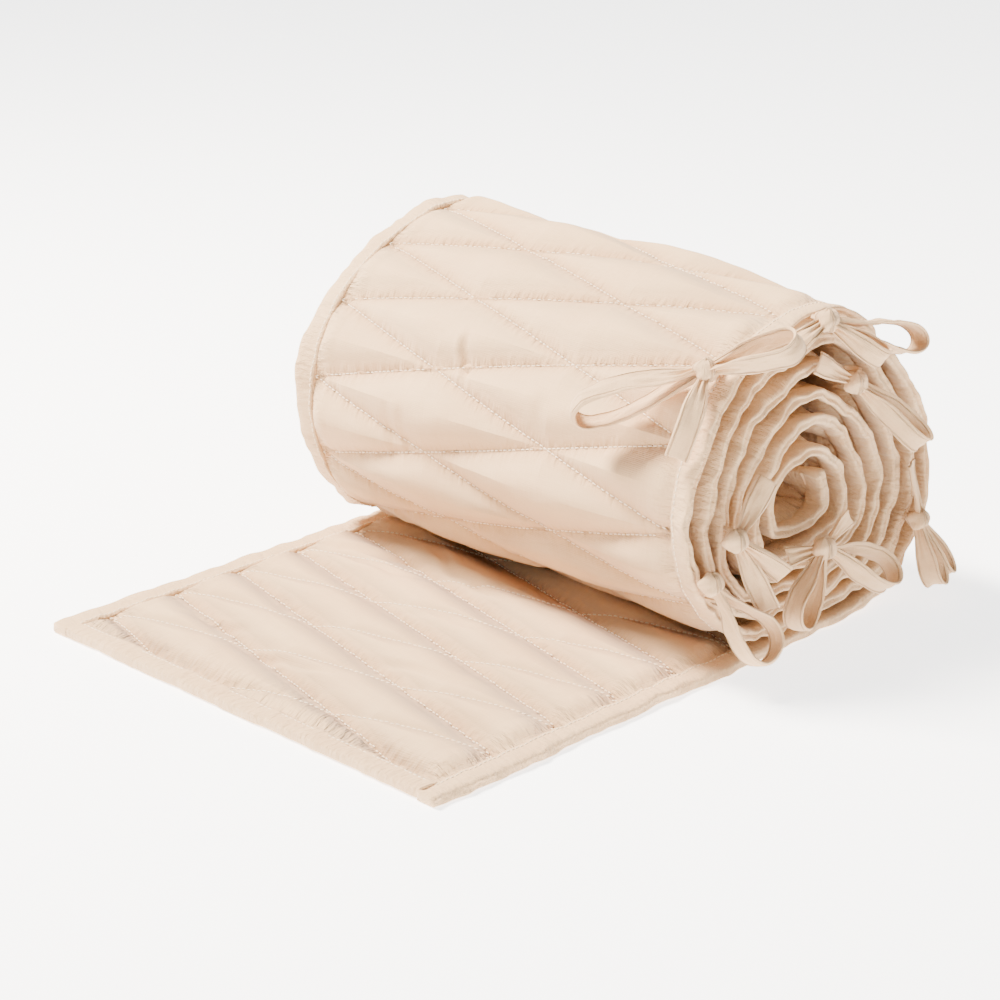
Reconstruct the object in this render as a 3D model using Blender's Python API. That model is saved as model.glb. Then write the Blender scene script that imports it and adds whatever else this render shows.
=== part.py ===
"""A quilted crib bumper, wound into a roll with its outer end lying flat.

The bumper is one padded strip with a folded binding on all four edges and tape ties along one
long edge. X runs along the roll's axis, Y along the flap towards the roll, and Z is up.
A point of the strip has u across it (along X), s along it from the flap's end, and h away from
its middle surface, positive on the side that faces outwards once it is rolled.
"""

import math

import bmesh
import bpy
import numpy as np
from mathutils import Matrix, Vector

# The strip
HEIGHT = 0.300  # the bumper's height in the cot
BAND = 0.012  # visible width of the binding
PADDED = 0.0082  # thickness at the crown of a quilted diamond
BOUND = 0.0050  # thickness at the binding and its seam
SEAM_DIP = 0.0021  # how far a quilting line sinks below the crown
GAP = 0.0003  # clearance between two pieces that touch
RIPPLE = 0.0019  # how far the rolled edges wave sideways
RIM_WAVE = 0.0010  # how far the rims wander outwards
RACK = 0.09  # how far the strip is pulled out of square, per metre of height
LIFT = 0.0150  # how far the roll's back stands up at its plain end, where it is wound looser
LIFT_AT = (0.062, 0.055, 0.18)  # middle and spread of the lift along Y, and height of its full effect

# The quilting: diamonds, long across the strip
EDGE = HEIGHT / 2 - BAND  # where the panel meets the binding
HALF_LONG = 2 * EDGE / 3
HALF_SHORT = 0.0229
QUILT_PHASE = 0.0297  # a crossing on the left seam is this far along the strip

# The roll, seen from its tied end
FLAP_END_Y = -0.273
TURNS = 6.4
OUTER_CENTRE = (0.0115, 0.089)
CORE_CENTRE = (0.003, 0.071)
CORE_RADIUS = 0.021
FLOOR_PITCH = 0.0096  # layer spacing where the roll's weight presses on the floor
# radius of the outer turn as a sum of waves round the roll: waves per turn, cosine and sine parts
ROLL_WAVES = (
    {"waves": 0, "cosine": 0.1035, "sine": 0.0},
    {"waves": 1, "cosine": -0.0033, "sine": -0.00385},
    {"waves": 2, "cosine": 0.00925, "sine": -0.00475},
    {"waves": 3, "cosine": 0.0, "sine": -0.0052},
    {"waves": 4, "cosine": 0.0, "sine": -0.0018},
)

# Mesh density
LINE_STEP = 0.004
FINE_ROW = HALF_SHORT / 4
INNER_STEP = math.radians(15)
OUTER_FINE_TURNS = (-0.05, 1.1)
FLAP_FINE_END_Y = -0.02

# The ties
TAPE_WIDTH = 0.012
TAPE_THICK = 0.0013
KNOT_SIZE = (0.0060, 0.0070, 0.0058)  # half sizes of a knot
KNOT_START = 0.0011  # strands start this far from the knot's middle
GATHER = 0.014  # the tape widens over this distance from the knot
GATHERED = 0.5  # share of its width at the knot
# Where each tie's knot sits, and the turn of the roll whose edge it is sewn to, in millimetres
TIES = (
    {"tie": "a", "turn": 0.62, "x": 137, "y": -79, "z": 158},
    {"tie": "b", "turn": 0.51, "x": 163, "y": -16, "z": 175},
    {"tie": "c", "turn": 2.43, "x": 160, "y": 15, "z": 136},
    {"tie": "d", "turn": 4.97, "x": 167, "y": -17, "z": 57},
    {"tie": "e", "turn": 2.76, "x": 163, "y": -86, "z": 78},
    {"tie": "f", "turn": 0.81, "x": 159, "y": -99, "z": 58},
    {"tie": "g", "turn": 1.18, "x": 160, "y": 80, "z": 46},
)
# Each loop or tail of a tie. Its tip is given from the knot, in millimetres to the right, up and
# near, seen along TIE_FRONT. face turns the tape's width from flat to that view, in degrees, open
# is a loop's opening, and bow is how far the middle stands out towards the viewer.
STRANDS = (
    {"tie": "a", "kind": "loop", "right": -64, "up": -21, "near": -20, "face": 52, "open": 23, "bow": 2},
    {"tie": "a", "kind": "loop", "right": 43, "up": 12, "near": 17, "face": 38, "open": 19, "bow": 3},
    {"tie": "a", "kind": "tail", "right": -15, "up": -43, "near": 7, "face": 0, "open": 0, "bow": 9},
    {"tie": "b", "kind": "loop", "right": 52, "up": -8, "near": -45, "face": 82, "open": 16, "bow": 0},
    {"tie": "b", "kind": "loop", "right": 29, "up": -18, "near": -9, "face": 30, "open": 9, "bow": 0},
    {"tie": "b", "kind": "tail", "right": -18, "up": -13, "near": 12, "face": 15, "open": 0, "bow": 3},
    {"tie": "c", "kind": "loop", "right": 37, "up": -29, "near": -22, "face": 35, "open": 13, "bow": 0},
    {"tie": "c", "kind": "tail", "right": -21, "up": 9, "near": 20, "face": 10, "open": 0, "bow": 0},
    {"tie": "d", "kind": "loop", "right": 38, "up": -15, "near": -28, "face": 50, "open": 20, "bow": 0},
    {"tie": "d", "kind": "loop", "right": -14, "up": -39, "near": 8, "face": 35, "open": 19, "bow": 0},
    {"tie": "d", "kind": "tail", "right": 14, "up": 16, "near": -8, "face": 45, "open": 0, "bow": 0},
    {"tie": "d", "kind": "tail", "right": -19, "up": -4, "near": 9, "face": 10, "open": 0, "bow": 0},
    {"tie": "e", "kind": "tail", "right": 17, "up": 30, "near": -8, "face": 10, "open": 0, "bow": 0},
    {"tie": "e", "kind": "tail", "right": 25, "up": -17, "near": -12, "face": 30, "open": 0, "bow": 0},
    {"tie": "e", "kind": "tail", "right": 18, "up": -34, "near": -20, "face": 10, "open": 0, "bow": 1},
    {"tie": "f", "kind": "loop", "right": 31, "up": -36, "near": -15, "face": 60, "open": 27, "bow": 0},
    {"tie": "g", "kind": "loop", "right": 10, "up": -33, "near": -5, "face": 35, "open": 9, "bow": 0},
    {"tie": "g", "kind": "loop", "right": 16, "up": -28, "near": -12, "face": 35, "open": 8, "bow": 0},
    {"tie": "g", "kind": "tail", "right": -6, "up": 30, "near": 12, "face": 68, "open": 0, "bow": 0},
)
TIE_FRONT = (0.633, -0.706, 0.318)
TIE_RIGHT = (0.745, 0.667, 0.0)
LOOP_SECTIONS = 15
TAIL_SECTIONS = 6
ROOT_GAP = 0.0005  # clearance at the binding's rippled edge
MM = 0.001

CLOTH = {"colour": (0.83, 0.70, 0.59, 1.0), "roughness": 0.9}
BINDING = {"colour": (0.84, 0.71, 0.60, 1.0), "roughness": 0.88}
TAPE = {"colour": (0.82, 0.69, 0.58, 1.0), "roughness": 0.9}


def clear_scene():
    for item in list(bpy.data.objects):
        bpy.data.objects.remove(item, do_unlink=True)


def make_material(name, look):
    """A plain cloth finish: its colour and roughness on a Principled BSDF."""
    material = bpy.data.materials.new(name)
    material.use_nodes = True
    shader = material.node_tree.nodes["Principled BSDF"]
    shader.inputs["Base Color"].default_value = look["colour"]
    shader.inputs["Roughness"].default_value = look["roughness"]
    shader.inputs["Metallic"].default_value = 0.0
    return material


def add_object(name, mesh, material):
    item = bpy.data.objects.new(name, mesh)
    item.data.materials.append(material)
    bpy.context.collection.objects.link(item)
    return item


def close_mesh(name, points, faces):
    """A mesh from points and faces, with its faces turned outwards."""
    mesh = bpy.data.meshes.new(name)
    mesh.from_pydata([tuple(p) for p in points], [], faces)
    shell = bmesh.new()
    shell.from_mesh(mesh)
    bmesh.ops.recalc_face_normals(shell, faces=shell.faces)
    shell.to_mesh(mesh)
    shell.free()
    mesh.shade_smooth()
    mesh.set_sharp_from_angle(angle=math.radians(40))
    return mesh


def outer_radius(angle):
    """Radius of the roll's outer surface at an angle from +Y towards +Z."""
    return sum(
        wave["cosine"] * math.cos(wave["waves"] * angle) + wave["sine"] * math.sin(wave["waves"] * angle)
        for wave in ROLL_WAVES
    )


def spiral_point(turn):
    """The strip's middle line after a number of turns, counted from the floor under the roll."""
    angle = -math.pi / 2 + 2 * math.pi * turn
    share = turn / TURNS
    radius = (outer_radius(angle) - PADDED / 2) * (1 - share) + CORE_RADIUS * share
    y = OUTER_CENTRE[0] * (1 - share) + CORE_CENTRE[0] * share + radius * math.cos(angle)
    z = OUTER_CENTRE[1] * (1 - share) + CORE_CENTRE[1] * share + radius * math.sin(angle)
    return y, max(z, PADDED / 2 + FLOOR_PITCH * turn)


def spaced(line, step):
    """The line again, with its points step apart, and the length to each."""
    lengths = np.concatenate([[0], np.cumsum(np.linalg.norm(np.diff(line, axis=0), axis=1))])
    count = int(round(lengths[-1] / step)) + 1
    at = np.linspace(0, lengths[-1], count)
    return np.stack([np.interp(at, lengths, line[:, k]) for k in range(line.shape[1])], axis=1)


def middle_line():
    """The strip's middle line from the flap's end to the core: columns y, z and turn."""
    flap = [(y, PADDED / 2, -1.0) for y in np.arange(FLAP_END_Y, OUTER_CENTRE[0] - LINE_STEP, LINE_STEP)]
    wound = [(*spiral_point(turn), turn) for turn in np.arange(0, TURNS, 1 / 180)]
    line = spaced(np.array(flap + wound), LINE_STEP)
    for _ in range(12):
        line[1:-1, :2] = line[1:-1, :2] / 2 + (line[:-2, :2] + line[2:, :2]) / 4
    return spaced(line, LINE_STEP)


LINE = middle_line()
LENGTHS = np.concatenate([[0], np.cumsum(np.linalg.norm(np.diff(LINE[:, :2], axis=0), axis=1))])
LENGTH = float(LENGTHS[-1])
TANGENTS = np.gradient(LINE[:, :2], axis=0)
TANGENTS /= np.linalg.norm(TANGENTS, axis=1)[:, None]


def at_turn(turn):
    """How far along the strip a turn of the roll is."""
    start = int(np.argmax(LINE[:, 2] >= 0))
    return float(np.interp(turn, LINE[start:, 2], LENGTHS[start:]))


def place(u, s, h):
    """The point of the strip at u across, s along and h outwards from its middle surface."""
    y = np.interp(s, LENGTHS, LINE[:, 0])
    z = np.interp(s, LENGTHS, LINE[:, 1])
    along_y = np.interp(s, LENGTHS, TANGENTS[:, 0])
    along_z = np.interp(s, LENGTHS, TANGENTS[:, 1])
    level, height = y + h * along_z, z - h * along_y
    looseness = 1 - min(max(u / HEIGHT + 0.5, 0.0), 1.0) ** 2.5
    lift = LIFT * looseness * math.exp(-(((level - LIFT_AT[0]) / LIFT_AT[1]) ** 2)) * (height / LIFT_AT[2]) ** 2
    return (u, level - RACK * u, height + lift)


def quilt_crown(u, s):
    """0 on a quilting line and 1 in the middle of a diamond."""
    across = (u + EDGE) / HALF_LONG
    along = (s - QUILT_PHASE) / HALF_SHORT
    nearest = 1.0
    for family in (along + across, along - across):
        nearest = min(nearest, abs(family - 2 * round(family / 2)))
    return 1 - (1 - nearest) ** 2.2


def edge_fade(u):
    """0 at the binding's seam, rising to 1 a little way in."""
    return min(1.0, (EDGE - abs(u)) / 0.014)


def on_floor(s):
    """1 where the strip lies on the floor, fading to 0 where it starts to rise."""
    return float(np.interp(s, (at_turn(0.04), at_turn(0.16)), (1.0, 0.0)))


def face_height(u, s, outward, fine):
    """Distance of a face of the panel from the strip's middle surface."""
    seam = (PADDED - BOUND) / 2
    flat = on_floor(s)
    if outward and flat > 0.99:
        return PADDED / 2
    dip = SEAM_DIP * (1 - quilt_crown(u, s)) if fine else SEAM_DIP * 0.3
    height = PADDED / 2 - max(dip, seam * (1 - edge_fade(u)) * (1 + flat * (-1 if outward else 1)))
    return height


COARSE_COLUMNS = (-EDGE, -EDGE + 0.014, EDGE - 0.014, EDGE)
FINE_COLUMNS = tuple(
    sorted([-EDGE + k * HALF_LONG / 4 for k in range(13)] + [-EDGE + 0.010, EDGE - 0.010])
)


def zip_rows(faces, low, high, low_u, high_u):
    """Triangles between two rows of points, which may have different numbers of points."""
    i = j = 0
    while i < len(low) - 1 or j < len(high) - 1:
        step_low = j == len(high) - 1 or (i < len(low) - 1 and low_u[i + 1] <= high_u[j + 1])
        if step_low:
            faces.append((low[i], low[i + 1], high[j]))
            i += 1
        else:
            faces.append((low[i], high[j + 1], high[j]))
            j += 1


def quilt_rows(faces, low, high, crowns_low, crowns_high):
    """Triangles between two equal rows, split along the lower diagonal so that creases show."""
    for k in range(len(low) - 1):
        rising = crowns_low[k] + crowns_high[k + 1]
        falling = crowns_low[k + 1] + crowns_high[k]
        if rising <= falling:
            faces.append((low[k], low[k + 1], high[k + 1]))
            faces.append((low[k], high[k + 1], high[k]))
        else:
            faces.append((low[k], low[k + 1], high[k]))
            faces.append((low[k + 1], high[k + 1], high[k]))


def row_places(start, fine_end, end):
    """Where the strip's rows are: close together where the quilting shows, then by angle."""
    rows = list(np.arange(start, fine_end, FINE_ROW))
    while rows[-1] < end:
        radius = CORE_RADIUS + (0.09 - CORE_RADIUS) * (LENGTH - rows[-1]) / (LENGTH - fine_end)
        rows.append(rows[-1] + radius * INNER_STEP)
    rows[-1] = end
    if rows[-1] - rows[-2] < 0.003:
        rows.pop(-2)
    return rows


def make_panel(material):
    """The padded panel: two faces of quilted cloth, with its edges inside the binding."""
    outer_fine = (at_turn(0) + OUTER_FINE_TURNS[0], at_turn(OUTER_FINE_TURNS[1]))
    flap_fine_end = FLAP_FINE_END_Y - FLAP_END_Y
    points, faces, earlier = [], [], None
    for s in row_places(BAND + GAP, outer_fine[1], LENGTH - BAND - GAP):
        row = {}
        for side, fine in ((1, outer_fine[0] < s < outer_fine[1]), (-1, s < flap_fine_end)):
            columns = FINE_COLUMNS if fine else COARSE_COLUMNS
            row[side] = {"u": columns, "ids": range(len(points), len(points) + len(columns))}
            row[side]["crowns"] = [quilt_crown(u, s) for u in columns]
            points += [place(u, s, side * face_height(u, s, side > 0, fine)) for u in columns]
        if earlier is None:
            zip_rows(faces, row[1]["ids"], row[-1]["ids"], row[1]["u"], row[-1]["u"])
        else:
            for side in (1, -1):
                low, high = earlier[side], row[side]
                if len(low["ids"]) == len(high["ids"]):
                    quilt_rows(faces, low["ids"], high["ids"], low["crowns"], high["crowns"])
                else:
                    zip_rows(faces, low["ids"], high["ids"], low["u"], high["u"])
            for end in (0, -1):
                faces.append(
                    (earlier[1]["ids"][end], row[1]["ids"][end], row[-1]["ids"][end], earlier[-1]["ids"][end])
                )
        earlier = row
    zip_rows(faces, earlier[1]["ids"], earlier[-1]["ids"], earlier[1]["u"], earlier[-1]["u"])
    return add_object("panel", close_mesh("panel", points, faces), material)


def sweep(name, sections):
    """A closed solid through a list of sections with the same number of points."""
    count = len(sections[0])
    points = [p for section in sections for p in section]
    faces = [tuple(range(count)), tuple(range(len(points) - count, len(points)))]
    for row in range(len(sections) - 1):
        for k in range(count):
            following = (k + 1) % count
            faces.append(
                (row * count + k, row * count + following, (row + 1) * count + following, (row + 1) * count + k)
            )
    return close_mesh(name, points, faces)


def wander(s, scale):
    """A slow, uneven wave along an edge, as a bound edge that ripples between its stitches."""
    return scale * (
        0.5 * math.sin(2 * math.pi * s / 0.091 + 0.7)
        + 0.2 * math.sin(2 * math.pi * s / 0.067 + 2.1)
        + 0.4 * math.sin(2 * math.pi * s / 0.163 + 4.0)
    )


def edge_section(s, side):
    """The binding's section at a long edge: folded cloth, rounded at its outer fold."""
    thick = BOUND / 2
    droop = (PADDED - BOUND) / 2 * on_floor(s)
    ripple = wander(s + (0.02 if side < 0 else 0), RIPPLE) * (1 - on_floor(s))
    rim = HEIGHT / 2 + wander(s + 0.05, RIM_WAVE)
    inner = EDGE + GAP
    profile = (
        (inner, thick),
        (rim - 0.0014, thick + ripple),
        (rim, ripple),
        (rim - 0.0014, -thick + ripple),
        (inner, -thick),
    )
    return [place(side * u, s, h + droop) for u, h in profile]


def make_edge_binding(name, side, material):
    """The binding along a long edge, from the flap's corner to the core."""
    rows = row_places(0.0, at_turn(OUTER_FINE_TURNS[1]), LENGTH)
    fine = [s for k, s in enumerate(rows) if k % 2 == 0 or s > at_turn(OUTER_FINE_TURNS[1])]
    if fine[-1] != rows[-1]:
        fine.append(rows[-1])
    return add_object(name, sweep(name, [edge_section(s, side) for s in fine]), material)


def make_end_binding(name, start, end, material):
    """The binding across an end of the strip, between the two long ones."""
    thick = BOUND / 2
    droop = (PADDED - BOUND) / 2 * on_floor(start)
    fold = start + (0.0014 if end > start else -0.0014)
    profile = ((end, thick), (fold, thick), (start, 0.0), (fold, -thick), (end, -thick))
    columns = np.linspace(-EDGE, EDGE, 9)
    sections = [[place(u, s, h + droop) for s, h in profile] for u in columns]
    return add_object(name, sweep(name, sections), material)


def tape_section(centre, along, width, half_width):
    """Four corners of the tape at a point, square to the way that it runs."""
    along = along.normalized()
    width = (width - along * width.dot(along)).normalized()
    normal = along.cross(width)
    return [
        tuple(centre + width * a * half_width + normal * b * TAPE_THICK / 2)
        for a, b in ((-1, -1), (1, -1), (1, 1), (-1, 1))
    ]


def tape(name, knot, centres, width):
    """A length of tape through centres, gathered to a narrower width where it enters the knot."""
    sections = []
    for k, centre in enumerate(centres):
        along = centres[min(k + 1, len(centres) - 1)] - centres[max(k - 1, 0)]
        spread = min(1.0, (centre - knot).length / GATHER)
        half_width = TAPE_WIDTH / 2 * (GATHERED + (1 - GATHERED) * spread)
        sections.append(tape_section(centre, along, width, half_width))
    return sweep(name, sections)


def tip_and_width(row):
    """A strand's way from the knot to its tip, and the way its tape's width faces."""
    front = Vector(TIE_FRONT).normalized()
    right = Vector(TIE_RIGHT).normalized()
    out = (right * row["right"] + front.cross(right) * row["up"] + front * row["near"]) * MM
    flat = front.cross(out).normalized()
    edge = out.cross(flat).normalized()
    turn = math.radians(row["face"])
    return out, flat * math.cos(turn) + edge * math.sin(turn), front * row["bow"] * MM


def loop_line(knot, out, width, opening, bow):
    """A bow's loop: a leaf with its point at the knot, open square to the tape's width."""
    side = out.cross(width).normalized()
    centres = []
    for k in range(LOOP_SECTIONS):
        t = k / (LOOP_SECTIONS - 1)
        reach = math.sin(math.pi * t) ** 0.9
        spread = opening / 2 * math.sin(2 * math.pi * t) * abs(math.sin(math.pi * t)) ** 0.4
        start = side * (1 if t < 0.5 else -1) * TAPE_THICK * 1.2 * (1 - reach)
        base = knot + out.normalized() * KNOT_START + start
        centres.append(base + out * reach + side * spread + bow * math.sin(math.pi * reach))
    return centres


def tail_line(knot, out, bow):
    """A tail: from inside the knot to its tip, standing out a little in its middle."""
    start = knot + out.normalized() * KNOT_START
    shares = [k / (TAIL_SECTIONS - 1) for k in range(TAIL_SECTIONS)]
    return [start.lerp(knot + out, t) + bow * math.sin(math.pi * t) for t in shares]


def root_line(tie, knot):
    """A root: straight from the knot to the bound edge, or to the binding's face under a knot on it."""
    s = at_turn(tie["turn"])
    if knot.x < EDGE:
        return [knot, Vector(place(knot.x, s, PADDED / 2 + GAP))], Vector((1, 0, 0))
    sides = (s - TAPE_WIDTH / 2, s, s + TAPE_WIDTH / 2)
    rim_x = HEIGHT / 2 + max(wander(side + 0.05, RIM_WAVE) for side in sides)
    edge = Vector(place(rim_x + ROOT_GAP, s, wander(s, RIPPLE)))
    along = Vector(place(rim_x, s + 0.002, 0)) - Vector(place(rim_x, s - 0.002, 0))
    return [Vector((knot.x, edge.y, edge.z)), edge], along


def tape_strands(tie):
    """Every strand of a tie: its loops, its tails, and the root sewn to the binding."""
    knot = Vector((tie["x"], tie["y"], tie["z"])) * MM
    strands = [root_line(tie, knot)]
    for row in (r for r in STRANDS if r["tie"] == tie["tie"]):
        out, width, bow = tip_and_width(row)
        if row["kind"] == "loop":
            centres = loop_line(knot, out, width, row["open"] * MM, bow)
        else:
            centres = tail_line(knot, out, bow)
        strands.append((centres, width))
    return knot, strands


def make_tie(tie, material):
    """One tie: its knot with every strand joined to it."""
    name = "tie_" + tie["tie"]
    knot, strands = tape_strands(tie)
    parts = bpy.data.collections.new(name + "_strands")
    bpy.context.scene.collection.children.link(parts)
    for number, (centres, width) in enumerate(strands):
        guide_name = f"{name}_strand_{number}"
        guide = bpy.data.objects.new(guide_name, tape(guide_name, knot, centres, width))
        guide.hide_render = True
        guide.display_type = "WIRE"
        parts.objects.link(guide)
    bpy.ops.mesh.primitive_ico_sphere_add(subdivisions=2, radius=1.0, location=knot)
    item = bpy.context.object
    item.name = name
    item.data.transform(Matrix.Diagonal((*KNOT_SIZE, 1.0)))
    item.data.materials.append(material)
    joined = item.modifiers.new("strands", "BOOLEAN")
    joined.operation = "UNION"
    joined.operand_type = "COLLECTION"
    joined.collection = parts
    joined.solver = "EXACT"
    joined.use_self = True
    return item


def main():
    clear_scene()
    cloth = make_material("quilted_cloth", CLOTH)
    binding = make_material("binding_cloth", BINDING)
    tape_cloth = make_material("tie_cloth", TAPE)
    make_panel(cloth)
    make_edge_binding("binding_tied_edge", 1, binding)
    make_edge_binding("binding_plain_edge", -1, binding)
    make_end_binding("binding_flap_end", 0.0, BAND, binding)
    make_end_binding("binding_core_end", LENGTH, LENGTH - BAND, binding)
    for tie in TIES:
        make_tie(tie, tape_cloth)


main()
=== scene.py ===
"""Looks of a quilted cotton crib bumper, wound into a roll with its outer end lying flat.

Every soft piece is a surface over the strip's own coordinates: u across the strip, along the
world's X, s along it from the flap's end, and h away from its middle surface, positive on the
side that faces outwards once it is rolled. Lengths are in metres.
"""

import math

import bmesh
import bpy
import numpy as np
from bpy.props import FloatProperty, FloatVectorProperty, IntProperty, PointerProperty
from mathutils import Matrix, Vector


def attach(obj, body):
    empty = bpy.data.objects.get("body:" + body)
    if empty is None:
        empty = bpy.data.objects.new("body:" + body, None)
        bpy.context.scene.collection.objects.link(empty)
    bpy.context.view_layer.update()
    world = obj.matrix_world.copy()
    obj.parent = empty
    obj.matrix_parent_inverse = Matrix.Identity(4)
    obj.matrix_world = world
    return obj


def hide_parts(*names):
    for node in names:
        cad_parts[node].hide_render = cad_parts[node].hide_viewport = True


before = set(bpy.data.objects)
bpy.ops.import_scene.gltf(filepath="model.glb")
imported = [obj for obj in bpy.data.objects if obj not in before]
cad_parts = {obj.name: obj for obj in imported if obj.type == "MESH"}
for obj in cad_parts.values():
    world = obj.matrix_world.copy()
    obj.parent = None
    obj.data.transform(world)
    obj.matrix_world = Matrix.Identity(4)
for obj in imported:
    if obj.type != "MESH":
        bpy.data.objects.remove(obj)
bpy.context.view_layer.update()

bl_info = {
    "name": "Quilted crib bumper",
    "version": (1, 0, 0),
    "blender": (4, 5, 0),
    "location": "3D View > Sidebar > Bumper",
    "description": "Quilted panel, stitching, binding, tape ties and stage of a rolled crib bumper",
    "category": "Object",
}

# The strip, as the solids have it: its width, the width of the binding, the thickness of the
# padded panel and of the binding, the gap between solids, how far the bound edge waves sideways and
# outwards, how far along its waves the outward ones start, and the three waves
HEIGHT = 0.300
BAND = 0.012
PADDED = 0.0082
BOUND = 0.0050
GAP = 0.0003
RIPPLE = 0.0019
RIM_WAVE = 0.0010
RIM_START = 0.05
EDGE_WAVES = (
    {"share": 0.5, "length": 0.091, "start": 0.7},
    {"share": 0.2, "length": 0.067, "start": 2.1},
    {"share": 0.4, "length": 0.163, "start": 4.0},
)
# The roll stands askew: y falls by this share of u, so that the tied end is the nearer one
RACK = 0.09
# The roll's top is looser towards the plain end, and lifted there: by how much, round which y,
# how far to each side, and the height at which the lift is full
LIFT = 0.0150
LIFT_Y = 0.062
LIFT_REACH = 0.055
LIFT_HEIGHT = 0.18
LOOSE_POWER = 2.5
# The quilting: the panel's edge, the number of half diamonds across the panel, their size across and
# along the strip, where the lines start, and half the distance between two lines of one family
EDGE = HEIGHT / 2 - BAND
HALVES_ACROSS = 3
HALF_LONG = 2 * EDGE / HALVES_ACROSS
HALF_SHORT = 0.0229
QUILT_PHASE = 0.0297
LINE_UNIT = HALF_LONG * HALF_SHORT / math.hypot(HALF_LONG, HALF_SHORT)

# The roll: where the flap ends, the number of turns, the centres (y and z) that the spiral starts
# and ends round, the radius that it ends with, and how far apart its turns are on the floor
FLAP_END_Y = -0.273
TURNS = 6.4
OUTER_CENTRE = (0.0115, 0.089)
CORE_CENTRE = (0.003, 0.071)
CORE_RADIUS = 0.021
FLOOR_PITCH = 0.0096
LINE_STEP = 0.004
POINTS_PER_TURN = 180
FIRST_PASSES = 12
LAST_PASSES = 40
# Turns at which the strip stops lying flat and at which it stands clear of the floor
LIES_UNTIL = 0.04
CLEAR_FROM = 0.16
# Where the panel is divided: this far before the roll, and after this many turns. The rows of the
# core, whose faces are hidden, are a step of their own apart
FLAP_BEFORE_ROLL = 0.03
OUTER_TURNS = 1.12
CORE_STEP = 0.004
# The roll's outer radius is a sum of these waves round it
ROLL_WAVES = (
    {"waves": 0, "cosine": 0.1035, "sine": 0.0},
    {"waves": 1, "cosine": -0.0033, "sine": -0.00385},
    {"waves": 2, "cosine": 0.00925, "sine": -0.00475},
    {"waves": 3, "cosine": 0.0, "sine": -0.0052},
    {"waves": 4, "cosine": 0.0, "sine": -0.0018},
)

# Soft creases pressed into the cloth: on the face that shows outside (1) or on top of the flap (-1),
# the middle, the way it runs from the u axis in degrees, half its length and width, and its depth
CREASES = (
    {"face": 1, "u": -0.026, "s": 0.684, "way": 72, "long": 0.012, "wide": 0.0026, "deep": 0.0026},
    {"face": 1, "u": -0.098, "s": 0.800, "way": 52, "long": 0.013, "wide": 0.0030, "deep": 0.0013},
    {"face": 1, "u": -0.086, "s": 0.806, "way": 48, "long": 0.015, "wide": 0.0034, "deep": 0.0012},
    {"face": 1, "u": -0.114, "s": 0.792, "way": 60, "long": 0.010, "wide": 0.0028, "deep": 0.0009},
    {"face": 1, "u": 0.012, "s": 0.800, "way": 80, "long": 0.012, "wide": 0.0030, "deep": 0.0009},
    {"face": 1, "u": -0.070, "s": 0.735, "way": 84, "long": 0.016, "wide": 0.0045, "deep": 0.0007},
    {"face": 1, "u": -0.060, "s": 0.730, "way": 96, "long": 0.014, "wide": 0.0040, "deep": 0.0006},
    {"face": 1, "u": 0.040, "s": 0.700, "way": 100, "long": 0.012, "wide": 0.0045, "deep": 0.0006},
    {"face": -1, "u": -0.095, "s": 0.188, "way": 18, "long": 0.030, "wide": 0.0034, "deep": 0.0024},
    {"face": -1, "u": -0.070, "s": 0.176, "way": 4, "long": 0.024, "wide": 0.0030, "deep": 0.0019},
    {"face": -1, "u": -0.052, "s": 0.206, "way": -24, "long": 0.020, "wide": 0.0032, "deep": 0.0023},
    {"face": -1, "u": -0.020, "s": 0.196, "way": -12, "long": 0.026, "wide": 0.0036, "deep": 0.0019},
    {"face": -1, "u": 0.010, "s": 0.150, "way": 6, "long": 0.024, "wide": 0.0040, "deep": 0.0015},
    {"face": -1, "u": 0.050, "s": 0.092, "way": 10, "long": 0.030, "wide": 0.0036, "deep": 0.0016},
    {"face": -1, "u": -0.010, "s": 0.052, "way": 8, "long": 0.030, "wide": 0.0034, "deep": 0.0018},
    {"face": -1, "u": -0.085, "s": 0.058, "way": 12, "long": 0.024, "wide": 0.0034, "deep": 0.0015},
)

# Each crease bends to and fro along its way, and has a ridge beside its trough
CREASE_BEND = 0.0012
CREASE_BEND_LENGTH = 0.006
CREASE_RIDGE = 0.55
CREASE_RIDGE_AT = 1.7

# The cloth round a quilting line: how its depth is shared between a narrow and a broad dip, the
# powers of the two, and the longest waves of the gathers and of the loose cloth
NARROW_SHARE = 0.22
NARROW_POWER = 1.2
BROAD_POWER = 2.2
PATCH_LENGTH = 0.02
SEAM_GATHERS = 1.5
LOOSE_WAVES = (
    {"across": 0.034, "along": 0.016, "across_start": 7, "along_start": 3, "height": 1.0},
    {"across": 0.016, "along": 0.009, "across_start": 0, "along_start": 0, "height": 0.5},
)
# The flap's end seam is drawn up more in one stretch: its middle and half length across the strip,
# the strength of the gathers elsewhere and what that stretch adds, and their reach beside the others
DRAWN_UP_AT = 0.045
DRAWN_UP_REACH = 0.075
DRAWN_UP_LEAST = 0.35
DRAWN_UP_MORE = 1.1
END_SEAM_REACH = 1.7
# How far from its edge the panel starts to fall to the binding and how steeply, where its relief
# starts to die away, and the share of the relief that is left at the edge
FALL_REACH = 0.013
FALL_POWER = 1.6
FADE_REACH = 0.006
EDGE_RELIEF = 0.25
# The highest rise above the padding, and the deepest dip as a share of the padding's thickness
HIGHEST_RISE = 0.0020
DEEPEST_SHARE = 0.85

# The noise: how many values it has before it repeats, and its seeds on the outer (1) and the inner
# face (-1), on the binding of the tied (1) and the plain edge (-1) and of both ends, and on the ties
NOISE_TABLE = 4096
NOISE_GRID = 256
FACE_SEEDS = {1: 11, -1: 51}
EDGE_SEEDS = {1: 71, -1: 81}
FLAP_END_SEED = 91
CORE_END_SEED = 95
STRAND_SEED = 200
ROOT_SEED = 300

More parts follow.
